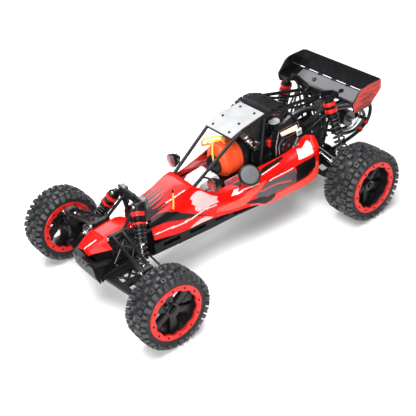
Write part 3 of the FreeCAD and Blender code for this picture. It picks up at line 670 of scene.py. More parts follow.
def top_colour(x, y):
    """Colour of the hood."""
    if near_line(y, x, HOOD_LINE, 0.9):
        return PALE
    if streak(x, y):
        return BLK
    # Painted light and shade: the red is made lighter and darker in broad waves across the hood.
    shade = 0.82 + 0.12 * math.sin(0.05 * y + 0.04 * x)
    return tuple(shade * c for c in RED)


def shell(name, rows, colours, t, replaces=(), flip=False):
    """A sheet of thickness t from rows of points, painted point by point on both faces."""
    n, m = len(rows), len(rows[0])
    normals = []
    for i in range(n):
        for j in range(m):
            along = rows[min(i + 1, n - 1)][j] - rows[max(i - 1, 0)][j]
            across = rows[i][min(j + 1, m - 1)] - rows[i][max(j - 1, 0)]
            normals.append(along.cross(across).normalized())
    outer = [p for row in rows for p in row]
    inner = [p - normal * t for p, normal in zip(outer, normals)]
    faces = []
    for i in range(n - 1):
        for j in range(m - 1):
            a, b, c, d = i * m + j, (i + 1) * m + j, (i + 1) * m + j + 1, i * m + j + 1
            faces.append((a, b, c, d))
            faces.append((d + n * m, c + n * m, b + n * m, a + n * m))
    edge = [i * m for i in range(n)] + [(n - 1) * m + j for j in range(1, m)]
    edge += [i * m + m - 1 for i in range(n - 2, -1, -1)] + list(range(m - 2, 0, -1))
    for a, b in zip(edge, edge[1:] + edge[:1]):
        faces.append((b, a, a + n * m, b + n * m))
    sheet = Shape(PAINT)
    sheet.add(outer + inner, faces)
    piece = sheet.make(name, "chassis", "body_red", replaces, smooth=38, flip=flip)
    layer = piece.data.color_attributes.new("paint", "FLOAT_COLOR", "POINT")
    flat = [c for row in colours for c in row]
    for i, c in enumerate(flat + flat):
        layer.data[i].color = (*c, 1)
    return piece


def steps(a, b, size):
    """Evenly spaced values from a to b, about size apart."""
    count = max(2, round(abs(b - a) / size) + 1)
    return [a + (b - a) * i / (count - 1) for i in range(count)]


def side_panels():
    """The flank from the nose back to the pod, and the pod, on each side."""
    vs = steps(0, 3, 0.045)
    for side, flip in SIDES:
        for name, y0, y1, replaced in (("flank", SIDE[0][0], POD_START, "body_shell"),
                                       ("pod", POD_START, SIDE[-1][0], "side_pods")):
            rows, colours = [], []
            for y in steps(y0, y1, 1.3):
                corners = side_corners(y)
                rows.append([Vector((p.x, y, p.y)) for p in (side_point(corners, v) for v in vs)])
                colours.append([side_colour(y, v) for v in vs])
            shell(f"{side}_{name}", rows, colours, 2.2, [replaced], flip=flip)


def hood_panel():
    """The crowned sheet between the flanks, which dips at its back edge."""
    front = SIDE[0][0]
    rows, colours = [], []
    for y in steps(front, -77, 1.3):
        corner = side_corners(y)[0]
        crown, back = 2.6 * min(1, (y - front) / 20), max(0, (y + 92) / 15)
        across = steps(-1, 1, 0.03)
        rows.append([Vector((corner.x * k, y, corner.y + crown * (1 - k * k) - 1.5 * back * back)) for k in across])
        colours.append([top_colour(corner.x * k, y) for k in across])
    shell("hood_top", rows, colours, 2.2, ["body_shell"])


def nose_panels():
    """The front lozenge and the narrow panel that runs back between the arms."""
    stations = [(-341, ((-20, 142.5), (-8, 145.5), (8, 145.5), (20, 142.5))),
                (-337.5, ((-23, 146), (-10, 149.5), (10, 149.5), (23, 146))),
                (-318, ((-34, 147), (-18, 156.5), (18, 156.5), (34, 147))),
                (-298.5, ((-44, 148), (-25, 163), (25, 163), (44, 148)))]
    panel("nose_front", stations)
    panel("nose_back", [
        (-299, ((-26.5, 158), (-22, 164), (22, 164), (26.5, 158))),
        (-270, ((-26.5, 160), (-22, 166.5), (22, 166.5), (26.5, 160))),
        (-243, ((-26, 161), (-21, 167), (21, 167), (26, 161))),
        (-234, ((-19, 162), (-15, 166.5), (15, 166.5), (19, 162))),
        (-230, ((-11, 162), (-8, 165), (8, 165), (11, 162)))])


def panel(name, stations):
    """A crowned sheet of the nose, through four corners (x, z) at each station along Y."""
    rows, colours = [], []
    for y in steps(stations[0][0], stations[-1][0], 1.5):
        i = 0
        while i < len(stations) - 2 and stations[i + 1][0] < y:
            i += 1
        (y0, a), (y1, b) = stations[i], stations[i + 1]
        t = (y - y0) / (y1 - y0)
        corners = [Vector(p).lerp(Vector(q), t) for p, q in zip(a, b)]
        row, tint = [], []
        for v in steps(3, 0, 0.05):
            p = side_point(corners, v)
            crown = 1.6 * max(0, 1 - abs(v - 1.5)) if 1 < v < 2 else 0
            row.append(Vector((p.x, y, p.y + crown)))
            tint.append(PALE if abs(p.x - (y + 331) * 0.22 - 4) < 1.0 and -338 < y < -312 else RED)
        rows.append(list(reversed(row)))
        colours.append(list(reversed(tint)))
    shell(name, rows, colours, 2.5, ["nose_cover"])


def far_side_panel():
    """The trim sheet that closes the right side of the cockpit from the hood back to the tank."""
    top = curve_through([(-44, -78, 189), (-51, -50, 175), (-57, -6, 178), (-61, 38, 186), (-63, 76, 195)], 16)
    foot = curve_through([(-46, -78, 172), (-54, -50, 156), (-61, -6, 152), (-66, 38, 156), (-68, 76, 162)], 16)
    rows, colours = [], []
    for a, b in zip(top, foot):
        rows.append([b.lerp(a, k) for k in steps(0, 1, 0.06)])
        colours.append([])
        for k in steps(0, 1, 0.06):
            stripe = math.sin(a.y * 0.06 + 3.2 * k)
            colours[-1].append(SALMON if k > 0.86 else PINK if stripe > 0.5 else BLK if stripe < -0.72 else
                               tuple(0.5 * r + 0.5 * p for r, p in zip(RED, SALMON)))
    shell("right_cockpit_side", rows, colours, 1.6)


side_panels()
hood_panel()
nose_panels()
far_side_panel()


# ---------------------------------------------------------------- fixed frame parts

def dress(node_name, mat, bevel):
    """Gives a CAD node its material and eases its edges by bevel (mm)."""
    piece = bpy.data.objects[node_name]
    piece.data.materials.clear()
    piece.data.materials.append(mat)
    if bevel:
        mod = piece.modifiers.new("eased_edges", "BEVEL")
        mod.width = bevel * 0.001
        mod.segments = 2
        mod.limit_method = "ANGLE"
        mod.angle_limit = math.radians(50)


def dress_all():
    """Dresses the CAD nodes that show as they are."""
    corners = {"front": (("lower_arm", BLACK, 0.3), ("hub_carrier", SATIN, 0.6), ("knuckle", SATIN, 0),
                         ("tie_rod", SATIN, 0), ("shock_body", SATIN, 0), ("shock_rod", STEEL, 0)),
               "rear": (("lower_arm", BLACK, 0.7), ("upper_link", DARK_STEEL, 0), ("hub_carrier", SATIN, 0.6),
                        ("driveshaft", STEEL, 0), ("shock_body", SATIN, 0), ("shock_rod", DARK_STEEL, 0))}
    for side, _ in SIDES:
        for end, nodes in corners.items():
            for name, mat, bevel in nodes:
                dress(f"{end}_{side}_{name}", mat, bevel)
    for name, mat, bevel in (
            ("chassis_plate", BLACK, 0.5), ("front_bulkhead", BLACK, 0.6), ("steering_link", STEEL, 0),
            ("front_bumper", BLACK, 0.6), ("roll_cage", SATIN, 0), ("engine", SATIN, 0.6),
            ("exhaust", DARK_STEEL, 0), ("gearbox", BLACK, 0.6), ("rear_tower", SATIN, 0.6),
            ("rear_bumper", SATIN, 0), ("radio_box", CREAM, 0.8), ("spur_gear", DARK_STEEL, 0),
            ("clutch_pinion", DARK_STEEL, 0)):
        dress(name, mat, bevel)


def roof():
    """The pale front sheet and the ribbed black rear one, with their screws."""
    sheet = Shape(ROOF, BLACK, SATIN)
    line = [(34, 261.6), (48, 267.2), (58, 270.8), (64, 272.4), (74, 273.4), (104, 275.2), (134, 277)]
    rings = []
    for y, z in line:
        half = 44 + (y - 30) * 3 / 32 if y < 62 else 47 - (y - 62) * 7 / 78
        ring = []
        for x, d in ((-half, -1.6), (-half, -0.4), (-half + 0.5, 0), (-half * 0.5, 0.3), (0, 0.4),
                     (half * 0.5, 0.3),
                     (half - 0.5, 0), (half, -0.4), (half, -1.6), (0, -1.4)):
            ring.append((x, y, z + d))
        rings.append(ring)
    sheet.loops(rings, ROOF)
    for x, y, z in ((28, 43, 265), (28, 72, 273.4), (24, 120, 276.3)):
        for s in (-1, 1):
            sheet.bolt((s * x, y, z), (0, -0.25, 1), 3.0, 2.0, BLACK)
    rings = []
    for y, z, half in ((137.5, 276.0, 41), (139, 277.8, 41), (148, 278.2, 42), (151, 280.4, 42), (184, 279.6, 43),
                       (187, 277.4, 43),
                       (191, 276.4, 42), (192, 274.2, 41)):
        rings.append([(-half, y, z - 3.4), (-half, y, z - 1.2), (-half + 0.8, y, z - 0.5), (-26, y, z - 0.4),
                      (-22, y, z + 1),
                      (22, y, z + 1), (26, y, z - 0.4), (half - 0.8, y, z - 0.5), (half, y, z - 1.2),
                      (half, y, z - 3.4)])
    sheet.loops(rings, BLACK)
    for x in (-34, 34):
        for y in (144, 189):
            sheet.bolt((x, y, 276.8), (0, 0, 1), 2.6, 1.8, SATIN)
    for k in range(5):
        sheet.block((-17, 156 + 5.6 * k, 280), (17, 158.4 + 5.6 * k, 282.2), SATIN, 0.5)
    sheet.make("roof_sheets", "chassis", "roof_grey", ["roof_panels"], smooth=25)


def tank():
    """The orange drum with its black band, foot, front cap and filler neck."""
    drum = Shape(TANK, BLACK, SATIN)
    for mat, profile in (
            (TANK, ((15, 25), (17, 30), (21, 34.5), (27, 37.2), (36, 38), (60, 38), (66, 37.6), (67, 36.6),
                 (68, 36.6))),
            (BLACK, ((67.5, 38.6), (68.5, 39.3), (80, 39.3), (82, 38.6), (82, 36), (88, 33), (90, 20)))):
        drum.loops([drum_ring(y, r) for y, r in profile], mat)
    drum.block((-34, 18, 83), (34, 88, 152), BLACK, 6)
    for y in (30, 52):
        drum.loops([drum_ring(y - 0.7, 38.1), drum_ring(y, 38.7), drum_ring(y + 0.7, 38.1)], TANK)
    axis = Vector((0.05, -0.96, 0.26)).normalized()
    at = Vector((0, 15, 185))
    drum.lathe(at, axis, [(-2, 19), (0, 22), (5, 22.6), (6.5, 21.6), (6.5, 18.6), (5.6, 18.2), (5.4, 6.5), (8.5, 6),
                          (9, 5), (9, 0)], 40, SATIN)
    drum.ribs(at + axis * 0.4, axis, 22.4, 20, 4.8, 0.9, SATIN)
    neck = CAP_CENTRE - CAP_AXIS * 60
    drum.lathe(neck, CAP_AXIS, [(0, 12), (38, 12), (44, 17), (50, 18), (59, 18), (60, 17)], 32, TANK)
    drum.make("tank_and_filler", "chassis", "tank", ["fuel_tank"], smooth=35)


def drum_ring(y, r):
    """A round-cornered ring of the tank, a little taller than wide."""
    return [(r * math.cos(a), y, 190 + r * 1.08 * math.sin(a)) for a in turns(48)]


CAP_CENTRE = Vector((90, 38, 184))
CAP_AXIS = Vector((0.72, -0.25, 0.65)).normalized()


def cap():
    """The ribbed filler cap."""
    lid = Shape(CAP, SATIN)
    lid.lathe(CAP_CENTRE, CAP_AXIS, [(-7, 18.4), (-7, 22.6), (-5.5, 24), (4.5, 24), (6.5, 22.6), (7, 21.6),
                                     (7, 20.4), (6.2, 20.1)], 48, SATIN)
    lid.lathe(CAP_CENTRE, CAP_AXIS, [(6.1, 20.4), (6.4, 20.2), (6.8, 19), (6.9, 4), (7.5, 3.6), (7.6, 0)], 48, CAP)
    lid.ribs(CAP_CENTRE - CAP_AXIS * 5, CAP_AXIS, 24, 30, 9, 0.8, SATIN)
    for a in turns(3):
        at = CAP_CENTRE + CAP_AXIS * 6.6 + round_axis(CAP_AXIS, 12, a + 0.3)
        lid.lathe(at, CAP_AXIS, [(0, 2.2), (0.6, 2.2), (0.9, 1.6)], 12, CAP)
    lid.make("filler_lid", "fuel_cap", "cap_grey", ["fuel_cap"], smooth=35)


def lamps():
    """The two round lamps on their bent stalks."""
    for s, side in ((1, "left"), (-1, "right")):
        lamp = Shape(GLOSS_BLACK, LENS, STEEL)
        at = (s * 74, -52, 194)
        lamp.lathe(at, (0, 1, 0), [(-1, 14.2), (-1, 15.4), (0, 16.3), (3, 16.5), (8, 15.4), (14, 12.6), (20, 8),
                                   (24, 4), (25, 0.5)],
                   40, GLOSS_BLACK)
        lamp.lathe(at, (0, 1, 0), [(0.6, 14.4), (-0.6, 14), (-1.6, 11.6), (-2.4, 7.4), (-2.8, 0.1)], 36, LENS)
        lamp.tube([(s * 74, -36, 197), (s * 64, -42, 200), (s * 54, -46, 202), (s * 43, -49, 201)], 2.6, 10,
                  GLOSS_BLACK, 4)
        lamp.bolt((s * 74, -34, 205), (0, 0.3, 1), 2.4, 2.0, STEEL)
        lamp.make(side + "_lamp", "chassis", "lamp", ["headlamps"] if s > 0 else [], smooth=40)


def fuel_hose():
    """The fuel line along its CAD route, and two loops of vent hose on the tank top."""
    hose = Shape(HOSE)
    hose.tube([(6, 44, 236), (4, 32, 252), (-8, 18, 250), (-22, 6, 243), (-32, 8, 226), (-42, 24, 214),
               (-43, 50, 207),
               (-42, 80, 200), (-36, 112, 196), (-30, 134, 188), (-22, 149, 180)], 2.6, 14, HOSE, 8)
    hose.tube([(-6, 34, 232), (-4, 22, 244), (4, 12, 240), (8, 6, 222), (8, 6, 206), (6, 8, 196)], 2.3, 12, HOSE, 8)
    hose.tube([(10, 40, 232), (16, 30, 246), (10, 14, 252), (-4, 6, 246), (-10, 10, 236), (-12, 24, 230)], 2.0, 12,
              HOSE, 8)
    hose.make("fuel_hose", "chassis", "fuel_hose", ["fuel_line"], smooth=60)


dress_all()
roof()
tank()
cap()
lamps()
fuel_hose()


# ---------------------------------------------------------------- shock absorbers

# Each end's shock absorber: its two eyes, the span of its two red collars and the length of its body, then the
# coil's wire radius, radius and number of turns, and how far the rod slides in.
SHOCKS = {"front": ((40, -221, 214), (118, -278, 90), ((11, 20), (33, 42)), 48, (1.55, 12.0, 9.5), 22.1),
          "rear": ((68, 301, 252), (120, 301, 100), ((8, 17), (24, 33)), 50, (1.9, 12.3, 10.5), 20.8)}


def shock_parts():
    """The two red collars, the threaded sleeve between them and the coil of each shock absorber."""
    for end, (top, low, collars, can, coil, travel) in SHOCKS.items():
        for side, flip in SIDES:
            s = -1 if flip else 1
            a, b = (Vector((s * x, y, z)) for x, y, z in (top, low))
            axis = (b - a).normalized()
            upper = Shape(ANODISED, SATIN)
            for d0, d1 in collars:
                upper.lathe(a + axis * d0, axis, [(0, 12.2), (0, 13.4), (1.2, 14), (d1 - d0 - 1.2, 14),
                                                  (d1 - d0, 13.4), (d1 - d0, 12.2)], 36, ANODISED, wrap=True)
                upper.ribs(a + axis * (d0 + 1.4), axis, 14, 10, d1 - d0 - 2.8, 0.9, ANODISED)
            (_, start), (stop, end_of_collars) = collars
            for k in range(int((stop - start) / 1.8)):
                upper.lathe(a + axis * (start + 0.6 + 1.8 * k), axis, [(0, 12.0), (0.5, 12.8), (1.0, 12.0)], 28,
                            SATIN)
            upper.lathe(a + axis * (25 + can), axis, [(0, 9.6), (0, 10.6), (3.6, 10.6), (3.6, 9.6)], 28, SATIN,
                        wrap=True)
            upper.make(f"{end}_{side}_shock_collars", f"{end}_{side}_shock", "alloy_black", smooth=35)
            spring(f"{end}_{side}_", a, axis, end_of_collars + 0.3, (b - a).length - 23.4, coil)


def spring(corner, a, axis, d0, d1, coil):
    """The coil between d0 and d1 along the axis, closer at both ends."""
    wire, radius, count = coil
    shape = Shape(COIL)
    path = []
    pieces = 306
    for i in range(pieces + 1):
        t = i / pieces
        ease = t - 0.035 * math.sin(2 * math.pi * t)
        along = d0 + wire + (d1 - d0 - 2 * wire) * ease
        path.append(a + axis * along + round_axis(axis, radius, 2 * math.pi * count * t))
    shape.tube(path, wire, 8, COIL)
    piece = shape.make(corner + "coil", corner + "shock", "spring_steel", [corner + "spring"], smooth=60)
    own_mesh(piece)


shock_parts()


# ---------------------------------------------------------------- wing

def prism(shape, outline, x0, x1, mat=None, chamfer=0.5):
    """A plate with an outline in (y, z) between x0 and x1, with eased edges."""
    cy = sum(p[0] for p in outline) / len(outline)
    cz = sum(p[1] for p in outline) / len(outline)
    reach = max(math.hypot(y - cy, z - cz) for y, z in outline)
    k = 1 - chamfer / reach
    rings = []
    for x, s in ((x0, k), (x0 + chamfer, 1), (x1 - chamfer, 1), (x1, k)):
        rings.append([(x, cy + (y - cy) * s, cz + (z - cz) * s) for y, z in outline])
    shape.loops(rings, mat)


def rounded(outline, r, n=4):
    """The outline with each corner turned into an arc-like curve of about radius r."""
    out = []
    count = len(outline)
    for i in range(count):
        a, b, c = (Vector(outline[(i + k) % count]) for k in (-1, 0, 1))
        p = b + (a - b).normalized() * min(r, (a - b).length * 0.45)
        q = b + (c - b).normalized() * min(r, (c - b).length * 0.45)
        for k in range(n + 1):
            t = k / n
            out.append(tuple(p * (1 - t) ** 2 + b * 2 * t * (1 - t) + q * t * t))
    return out


WING_END = [(350.6, 275), (375, 277.7), (415.9, 276.1), (414, 251), (376, 221), (327, 222), (321, 244.5)]


def wing():
    """The two planes, the end plates, the struts, and a thin grey sheet on the main plane that paints its gloss
    reflection, with its two screws.
    """
    shape = Shape(GLOSS_BLACK, PAINTED_REFLECTION, SATIN)
    end = rounded(WING_END, 7)
    for s in (-1, 1):
        prism(shape, end, *sorted((s * 122, s * 125.6)))
    main = rounded([(346, 226), (349, 230), (388, 243), (391, 240), (352, 225)], 1.5, 3)
    prism(shape, main, -122, 122, GLOSS_BLACK, 0.2)
    flap = [(389, 244), (391, 243.2), (398, 247.5), (405, 255), (411, 265), (415.3, 275.4), (413.6, 276),
            (408, 265.5), (401, 256), (394, 249)]
    prism(shape, flap, -122, 122, GLOSS_BLACK, 0.2)
    for x in (-92, -46, 0, 46, 92):
        shape.block((x - 2.2, 382, 238.5), (x + 2.2, 397, 248), GLOSS_BLACK, 0.5)
    shape.block((-122, 406, 262), (122, 409, 263.4), GLOSS_BLACK, 0.4)
    # Painted reflection: a thin grey sheet over most of the main plane stands in for the light its gloss reflects.
    slope = Vector((0, 39, 13)).normalized()
    up = Vector((1, 0, 0)).cross(slope)
    corners = [(-98, 351.5), (112, 351.5), (112, 384), (-98, 384)]
    base = [Vector((x, y, 230.2 + (y - 349) / 3)) for x, y in corners]
    shape.loops([[p + up * 0.1 for p in base], [p + up * 0.9 for p in base]], PAINTED_REFLECTION)
    for x in (-45, 45):
        at = Vector((x, 366, 230.2 + 17 / 3)) + up * 0.6
        shape.lathe(at, up, [(0.0, 7.6), (0.7, 7.2), (0.8, 5.8), (0.4, 5.4)], 32, GLOSS_BLACK)
        shape.lathe(at, up, [(0, 4.4), (1.8, 4.4), (2.4, 3.8), (2.4, 2.6), (0.8, 2.4)], 6, GLOSS_BLACK)
    for s in (-1, 1):
        prism(shape, [(322, 222), (324, 238), (348, 227), (374, 238), (362, 214), (340, 208)], s * 28.5 - 2.4,
              s * 28.5 + 2.4, SATIN)
    shape.make("wing", "chassis", "wing", ["rear_wing"], smooth=30)
    for side, flip in SIDES:
        rows, colours = [], []
        for y in steps(323.5, 413.5, 1.4):
            low, high = wing_edge(y)
            rows.append([Vector((126.1, y, low + (high - low) * k)) for k in steps(0, 1, 0.03)])
            colours.append([wing_colour(y, (row.z - 221) / 57) for row in rows[-1]])
        shell(f"{side}_wing_graphic", rows, colours, 0.45, flip=flip)


def wing_edge(y):
    """Lowest and highest z of the end plate at y, a little inside its edge."""
    zs = []
    for (y0, z0), (y1, z1) in zip(WING_END, WING_END[1:] + WING_END[:1]):
        if min(y0, y1) <= y <= max(y0, y1) and y0 != y1:
            zs.append(z0 + (z1 - z0) * (y - y0) / (y1 - y0))
    return min(zs) + 1.5, max(zs) - 1.5


def wing_colour(y, h):
    """Red that breaks up into dark streaks towards the bottom edge."""
    wave = 0.022 * math.sin(y * 0.55) + 0.016 * math.sin(y * 0.23 + 2) + 0.014 * math.sin(y * 1.4)
    lean = 0.0016 * (y - 368)
    for middle, half, start, end in ((0.09, 0.080, 322, 388), (0.24, 0.040, 326, 384), (0.35, 0.026, 346, 404),
                                     (0.46, 0.050, 340, 392),
                                     (0.57, 0.022, 356, 412), (0.67, 0.034, 342, 378), (0.81, 0.018, 360, 408),
                                     (0.74, 0.014, 384, 412)):
        taper = min(1, (y - start) / 12, (end - y) / 12)
        if taper > 0 and abs(h - middle - lean - wave) < half * taper:
            return tuple(0.85 * a + 0.15 * b for a, b in zip(BLK, SALMON))
    return tuple(0.45 * a + 0.3 * b + 0.25 * c for a, b, c in zip(RED, SALMON, GREY))


wing()


# ---------------------------------------------------------------- engine and what stands round it

def engine_cover(shape):
    """The moulded side cover with its blank label, its small vented plate, and thin steel lines along its edges as
    painted highlights.
    """
    cover = rounded([(142, 160), (142, 197), (153, 227.5), (213, 227.5), (217, 202), (209, 151), (160, 147)], 4)
    prism(shape, cover, 40, 61, GLOSS_BLACK, 1.2)
    inner = rounded([(149, 166), (149, 194), (160, 206), (206, 206), (209, 198), (203, 158), (163, 154)], 5)
    prism(shape, inner, 60.5, 63, SATIN, 1.0)
    label = [(157.5, 224.5), (208.5, 223.2), (212, 208), (161.5, 213.5)]
    prism(shape, label, 60.6, 61.7, LABEL, 0.2)
    plate = rounded([(205, 195), (205, 209), (220, 211), (220, 195)], 2)
    prism(shape, plate, 61, 64, CREAM, 0.5)
    for k in range(4):
        shape.block((64, 208 + 2.4 * k, 199), (64.6, 209.2 + 2.4 * k, 206), DARK_STEEL, 0.1)
    # Painted highlights: thin steel lines along the cover's edges stand in for the light they catch.
    shape.tube([(61, 142, 170), (61.4, 142.5, 196), (61, 154, 228), (60.5, 180, 228.6), (60, 213, 228),
                (61, 218, 203)],
               0.8, 8, STEEL, 1)
    shape.tube([(63.4, 149, 168), (63.4, 149.5, 193), (63.4, 160, 205.5), (63.4, 206, 205.5)], 0.6, 8, STEEL, 1)


def pull_starter(shape):
    """The round starter on the cover, with its spokes, handle and cord."""
    shape.lathe((62, 181, 180), (1, 0, 0), [(0, 25), (3, 25), (5, 23), (5.5, 19), (4.5, 17), (4.5, 9), (6, 8),
                                            (6.5, 0)], 40, GLOSS_BLACK)
    for t in turns(12):
        a = Vector((66.3, 181 + 10 * math.cos(t), 180 + 10 * math.sin(t)))
        b = Vector((66.8, 181 + 21.5 * math.cos(t + 0.25), 180 + 21.5 * math.sin(t + 0.25)))
        shape.rod(a, b, 1.1, 8, SATIN)
    shape.tube([(70, 204, 195), (71, 192, 182), (70, 180, 169)], 4.2, 10, DARK_STEEL, 6, squash=0.6)
    shape.tube([(63, 178, 170), (69, 176, 164), (66, 168, 158)], 2.4, 8, SATIN, 4)


def engine_fins(shape):
    """The fins that stand out of the cover, those of the cylinder, and the plug with its lead."""
    for k in range(5):
        shape.block((58, 188 + 6.2 * k, 172), (78, 190.2 + 6.2 * k, 183.5), DARK_STEEL, 0.4)
        shape.block((58.4, 188.3 + 6.2 * k, 183.4), (78, 189.9 + 6.2 * k, 184.4), STEEL, 0.2)
    shape.block((54, 184, 160), (80, 219, 173), SATIN, 2)
    for k in range(6):
        shape.block((-34, 156, 171 + 4.2 * k), (18, 208, 172.6 + 4.2 * k), DARK_STEEL, 0.3)
    shape.rod((-12, 154, 184), (-30, 150, 192), 4.4, 12, CREAM)
    shape.tube([(-30, 150, 192), (-40, 160, 204), (-34, 182, 214), (-30, 200, 200)], 2.2, 8, GLOSS_BLACK, 5)


def air_filter(shape):
    """The ribbed drum on top, its pale lid and the red block beside it."""
    shape.lathe((-10, 182, 196), (0, 0, 1), [(0, 20), (2, 22.5), (24, 22.5), (27, 21), (29, 17), (30.6, 15.6),
                                             (30.8, 13.5), (30.2, 12.8)], 44, SATIN)
    shape.lathe((14, 183, 224.2), (0, 0, 1), [(0, 13), (1.6, 13), (2.4, 12.2), (2.4, 3), (3.6, 2.6), (3.8, 0)], 36,
                CREAM)
    shape.ribs(Vector((-10, 182, 199)), Vector((0, 0, 1)), 22.4, 28, 19, 0.9, GLOSS_BLACK)
    shape.block((34, 137, 188), (45, 147, 205), ANODISED, 1.5)
    shape.rod((40, 142, 176), (40, 142, 190), 3, 10, SATIN)


def carburettor(shape):
    """The body, bowl and screws in front of the cylinder, with their two hoses."""
    shape.block((-26, 96, 160), (30, 150, 186), SATIN, 3)
    shape.rod((6, 104, 186), (6, 104, 214), 13, 24, SATIN)
    shape.rod((14, 98, 205), (30, 100, 222), 7.5, 18, STEEL)
    shape.rod((26, 94, 214), (26, 108, 214), 6, 16, DARK_STEEL)
    shape.block((10, 94, 212), (24, 110, 226), STEEL, 2)
    shape.lathe((20, 101, 226), (0.2, 0, 1), [(0, 6.4), (3, 6.4), (3.6, 5.6), (3.6, 3), (2.2, 2.6)], 6, DARK_STEEL)
    shape.tube([(28, 108, 214), (34, 118, 206), (30, 132, 198), (20, 146, 192)], 2.6, 10, STEEL, 5)
    shape.tube([(10, 112, 200), (-8, 124, 210), (-20, 140, 206), (-22, 158, 196)], 3.0, 10, SATIN, 5)


def intake(shape):
    """The bright stack that leans on the carburettor, with its two side caps."""
    top, down = Vector((30, 80, 243)), Vector((-0.1, 0.5, -0.86)).normalized()
    shape.lathe(top, down, [(0, 4), (0, 8.4), (2, 9.4), (5, 9.4), (7, 7.6), (16, 7.2), (18, 9), (24, 9),
                               (26, 6.8), (44, 6.4)],
                28, STEEL)
    shape.lathe(top + down * 10 + Vector((6, 0, 0)), (1, 0, 0), [(0, 4.6), (2.4, 4.6), (2.8, 3.8), (2.8, 2),
                                                                    (1, 1.8)], 18, DARK_STEEL)
    shape.lathe(top + down * 30 + Vector((5, 0, 0)), (1, 0, 0), [(0, 5.2), (3.4, 5.2), (4, 4.2), (4, 2.2),
                                                                    (1, 2)], 18, STEEL)
    shape.block((24, 96, 196), (41, 112, 207), DARK_STEEL, 1.5)
    shape.bolt((38, 92, 214), (1, 0, 0), 2.4, 2.0, STEEL)
    shape.bolt((38, 100, 202), (1, 0, 0), 2.4, 2.0, STEEL)


def engine_details():
    """What the visual model adds to the CAD engine, as one piece."""
    shape = Shape(GLOSS_BLACK, LABEL, STEEL, ANODISED, SATIN, CREAM, DARK_STEEL)
    for part in (engine_cover, pull_starter, engine_fins, air_filter, carburettor, intake):
        part(shape)
    shape.make("engine_covers", "chassis", "engine", smooth=35)


def rear_pipes():
    """The guard hoops, and the rods and hoses round the rear tower."""
    shape = Shape(DARK_STEEL, STEEL, SATIN, ANODISED, ALLOY)
    for dx, r, mat in ((0, 4.2, DARK_STEEL), (-13, 3.4, STEEL), (-25, 4.0, SATIN)):
        x = 36 + dx
        shape.tube([(x, 330, 196), (x + 2, 372, 186), (x + 4, 415, 172), (x + 6, 440, 150), (x + 4, 446, 126),
                    (x, 425, 106),
                    (x - 4, 396, 104), (x - 8, 360, 116)], r, 12, mat, 6)
    shape.tube([(-20, 214, 160), (-20, 232, 176), (-14, 262, 194), (-6, 300, 198), (8, 336, 188), (14, 362, 168)],
               6.5, 14, DARK_STEEL, 6)
    for s in (-1, 1):
        shape.tube([(s * 30, 262, 166), (s * 33, 280, 182), (s * 31, 304, 190), (s * 26, 324, 180)], 3.0, 10, SATIN,
                   5)
        shape.tube([(s * 22, 236, 160), (s * 40, 262, 150), (s * 44, 300, 158), (s * 34, 324, 176)], 3.2, 10, SATIN,
                   5)
        shape.tube([(s * 42, 190, 268), (s * 34, 236, 246), (s * 24, 296, 232), (s * 22, 324, 238)], 3.2, 10, SATIN,
                   5)
        shape.rod((s * 36, 330, 200), (s * 60, 320, 250), 2.6, 10, SATIN)
        shape.rod((s * 20, 327, 170), (s * 46, 327, 232), 2.6, 10, SATIN)
        shape.block((s * 45 - 20, 288, 96), (s * 45 + 12, 296, 99.5), ALLOY, 1)
    shape.rod((-52, 447, 126), (52, 447, 126), 4.6, 14, SATIN)
    for s in (-1, 1):
        for p, q, r in (
                ((46, 318, 236), (30, 262, 172), 2.8), ((60, 327, 246), (34, 316, 120), 2.8),
                        ((38, 246, 168), (60, 316, 214), 2.4),
                        ((28, 300, 214), (62, 300, 150), 2.4), ((24, 336, 222), (36, 356, 120), 2.6),
                        ((56, 296, 160), (34, 262, 104), 2.6),
                        ((44, 330, 210), (30, 352, 150), 2.2), ((30, 248, 190), (58, 330, 232), 2.2)):
            shape.rod((s * p[0], p[1], p[2]), (s * q[0], q[1], q[2]), r, 10, SATIN)
    shape.rod((44, 392, 150), (60, 392, 150), 7.2, 18, STEEL)
    shape.lathe((50, 418, 108), (0, 1, 0.3), [(0, 4.8), (0, 6.6), (8, 6.6), (8, 4.8)], 16, ANODISED, wrap=True)
    shape.lathe((50, 440, 118), (0, 1, 1), [(0, 4.8), (0, 6.6), (7, 6.6), (7, 4.8)], 16, ANODISED, wrap=True)
    shape.make("rear_pipes", "chassis", "cage", smooth=50)


def gearbox_details():
    """Screws, ribs and breather of the gearbox."""
    shape = Shape(BLACK, STEEL, SATIN)
    for s in (-1, 1):
        for y, z in ((248, 158), (314, 158), (248, 104), (314, 104), (281, 160)):
            shape.bolt((s * 30, y, z), (s, 0, 0), 3.0, 2.6, STEEL)
        for k in range(6):
            shape.block((min(s * 29, s * 31.5), 252 + 10 * k, 112), (max(s * 29, s * 31.5), 254.5 + 10 * k, 152),
                        BLACK,
                        0.4)
    for k in range(5):
        shape.block((-24 + 10 * k, 246, 164), (-21 + 10 * k, 316, 168), BLACK, 0.5)
    shape.lathe((0, 281, 165), (0, 0, 1), [(0, 10), (3, 10), (4, 9), (4, 5), (6, 4), (6, 0)], 24, SATIN)
    shape.make("gearbox_ribs", "chassis", "plastic_black", smooth=35)


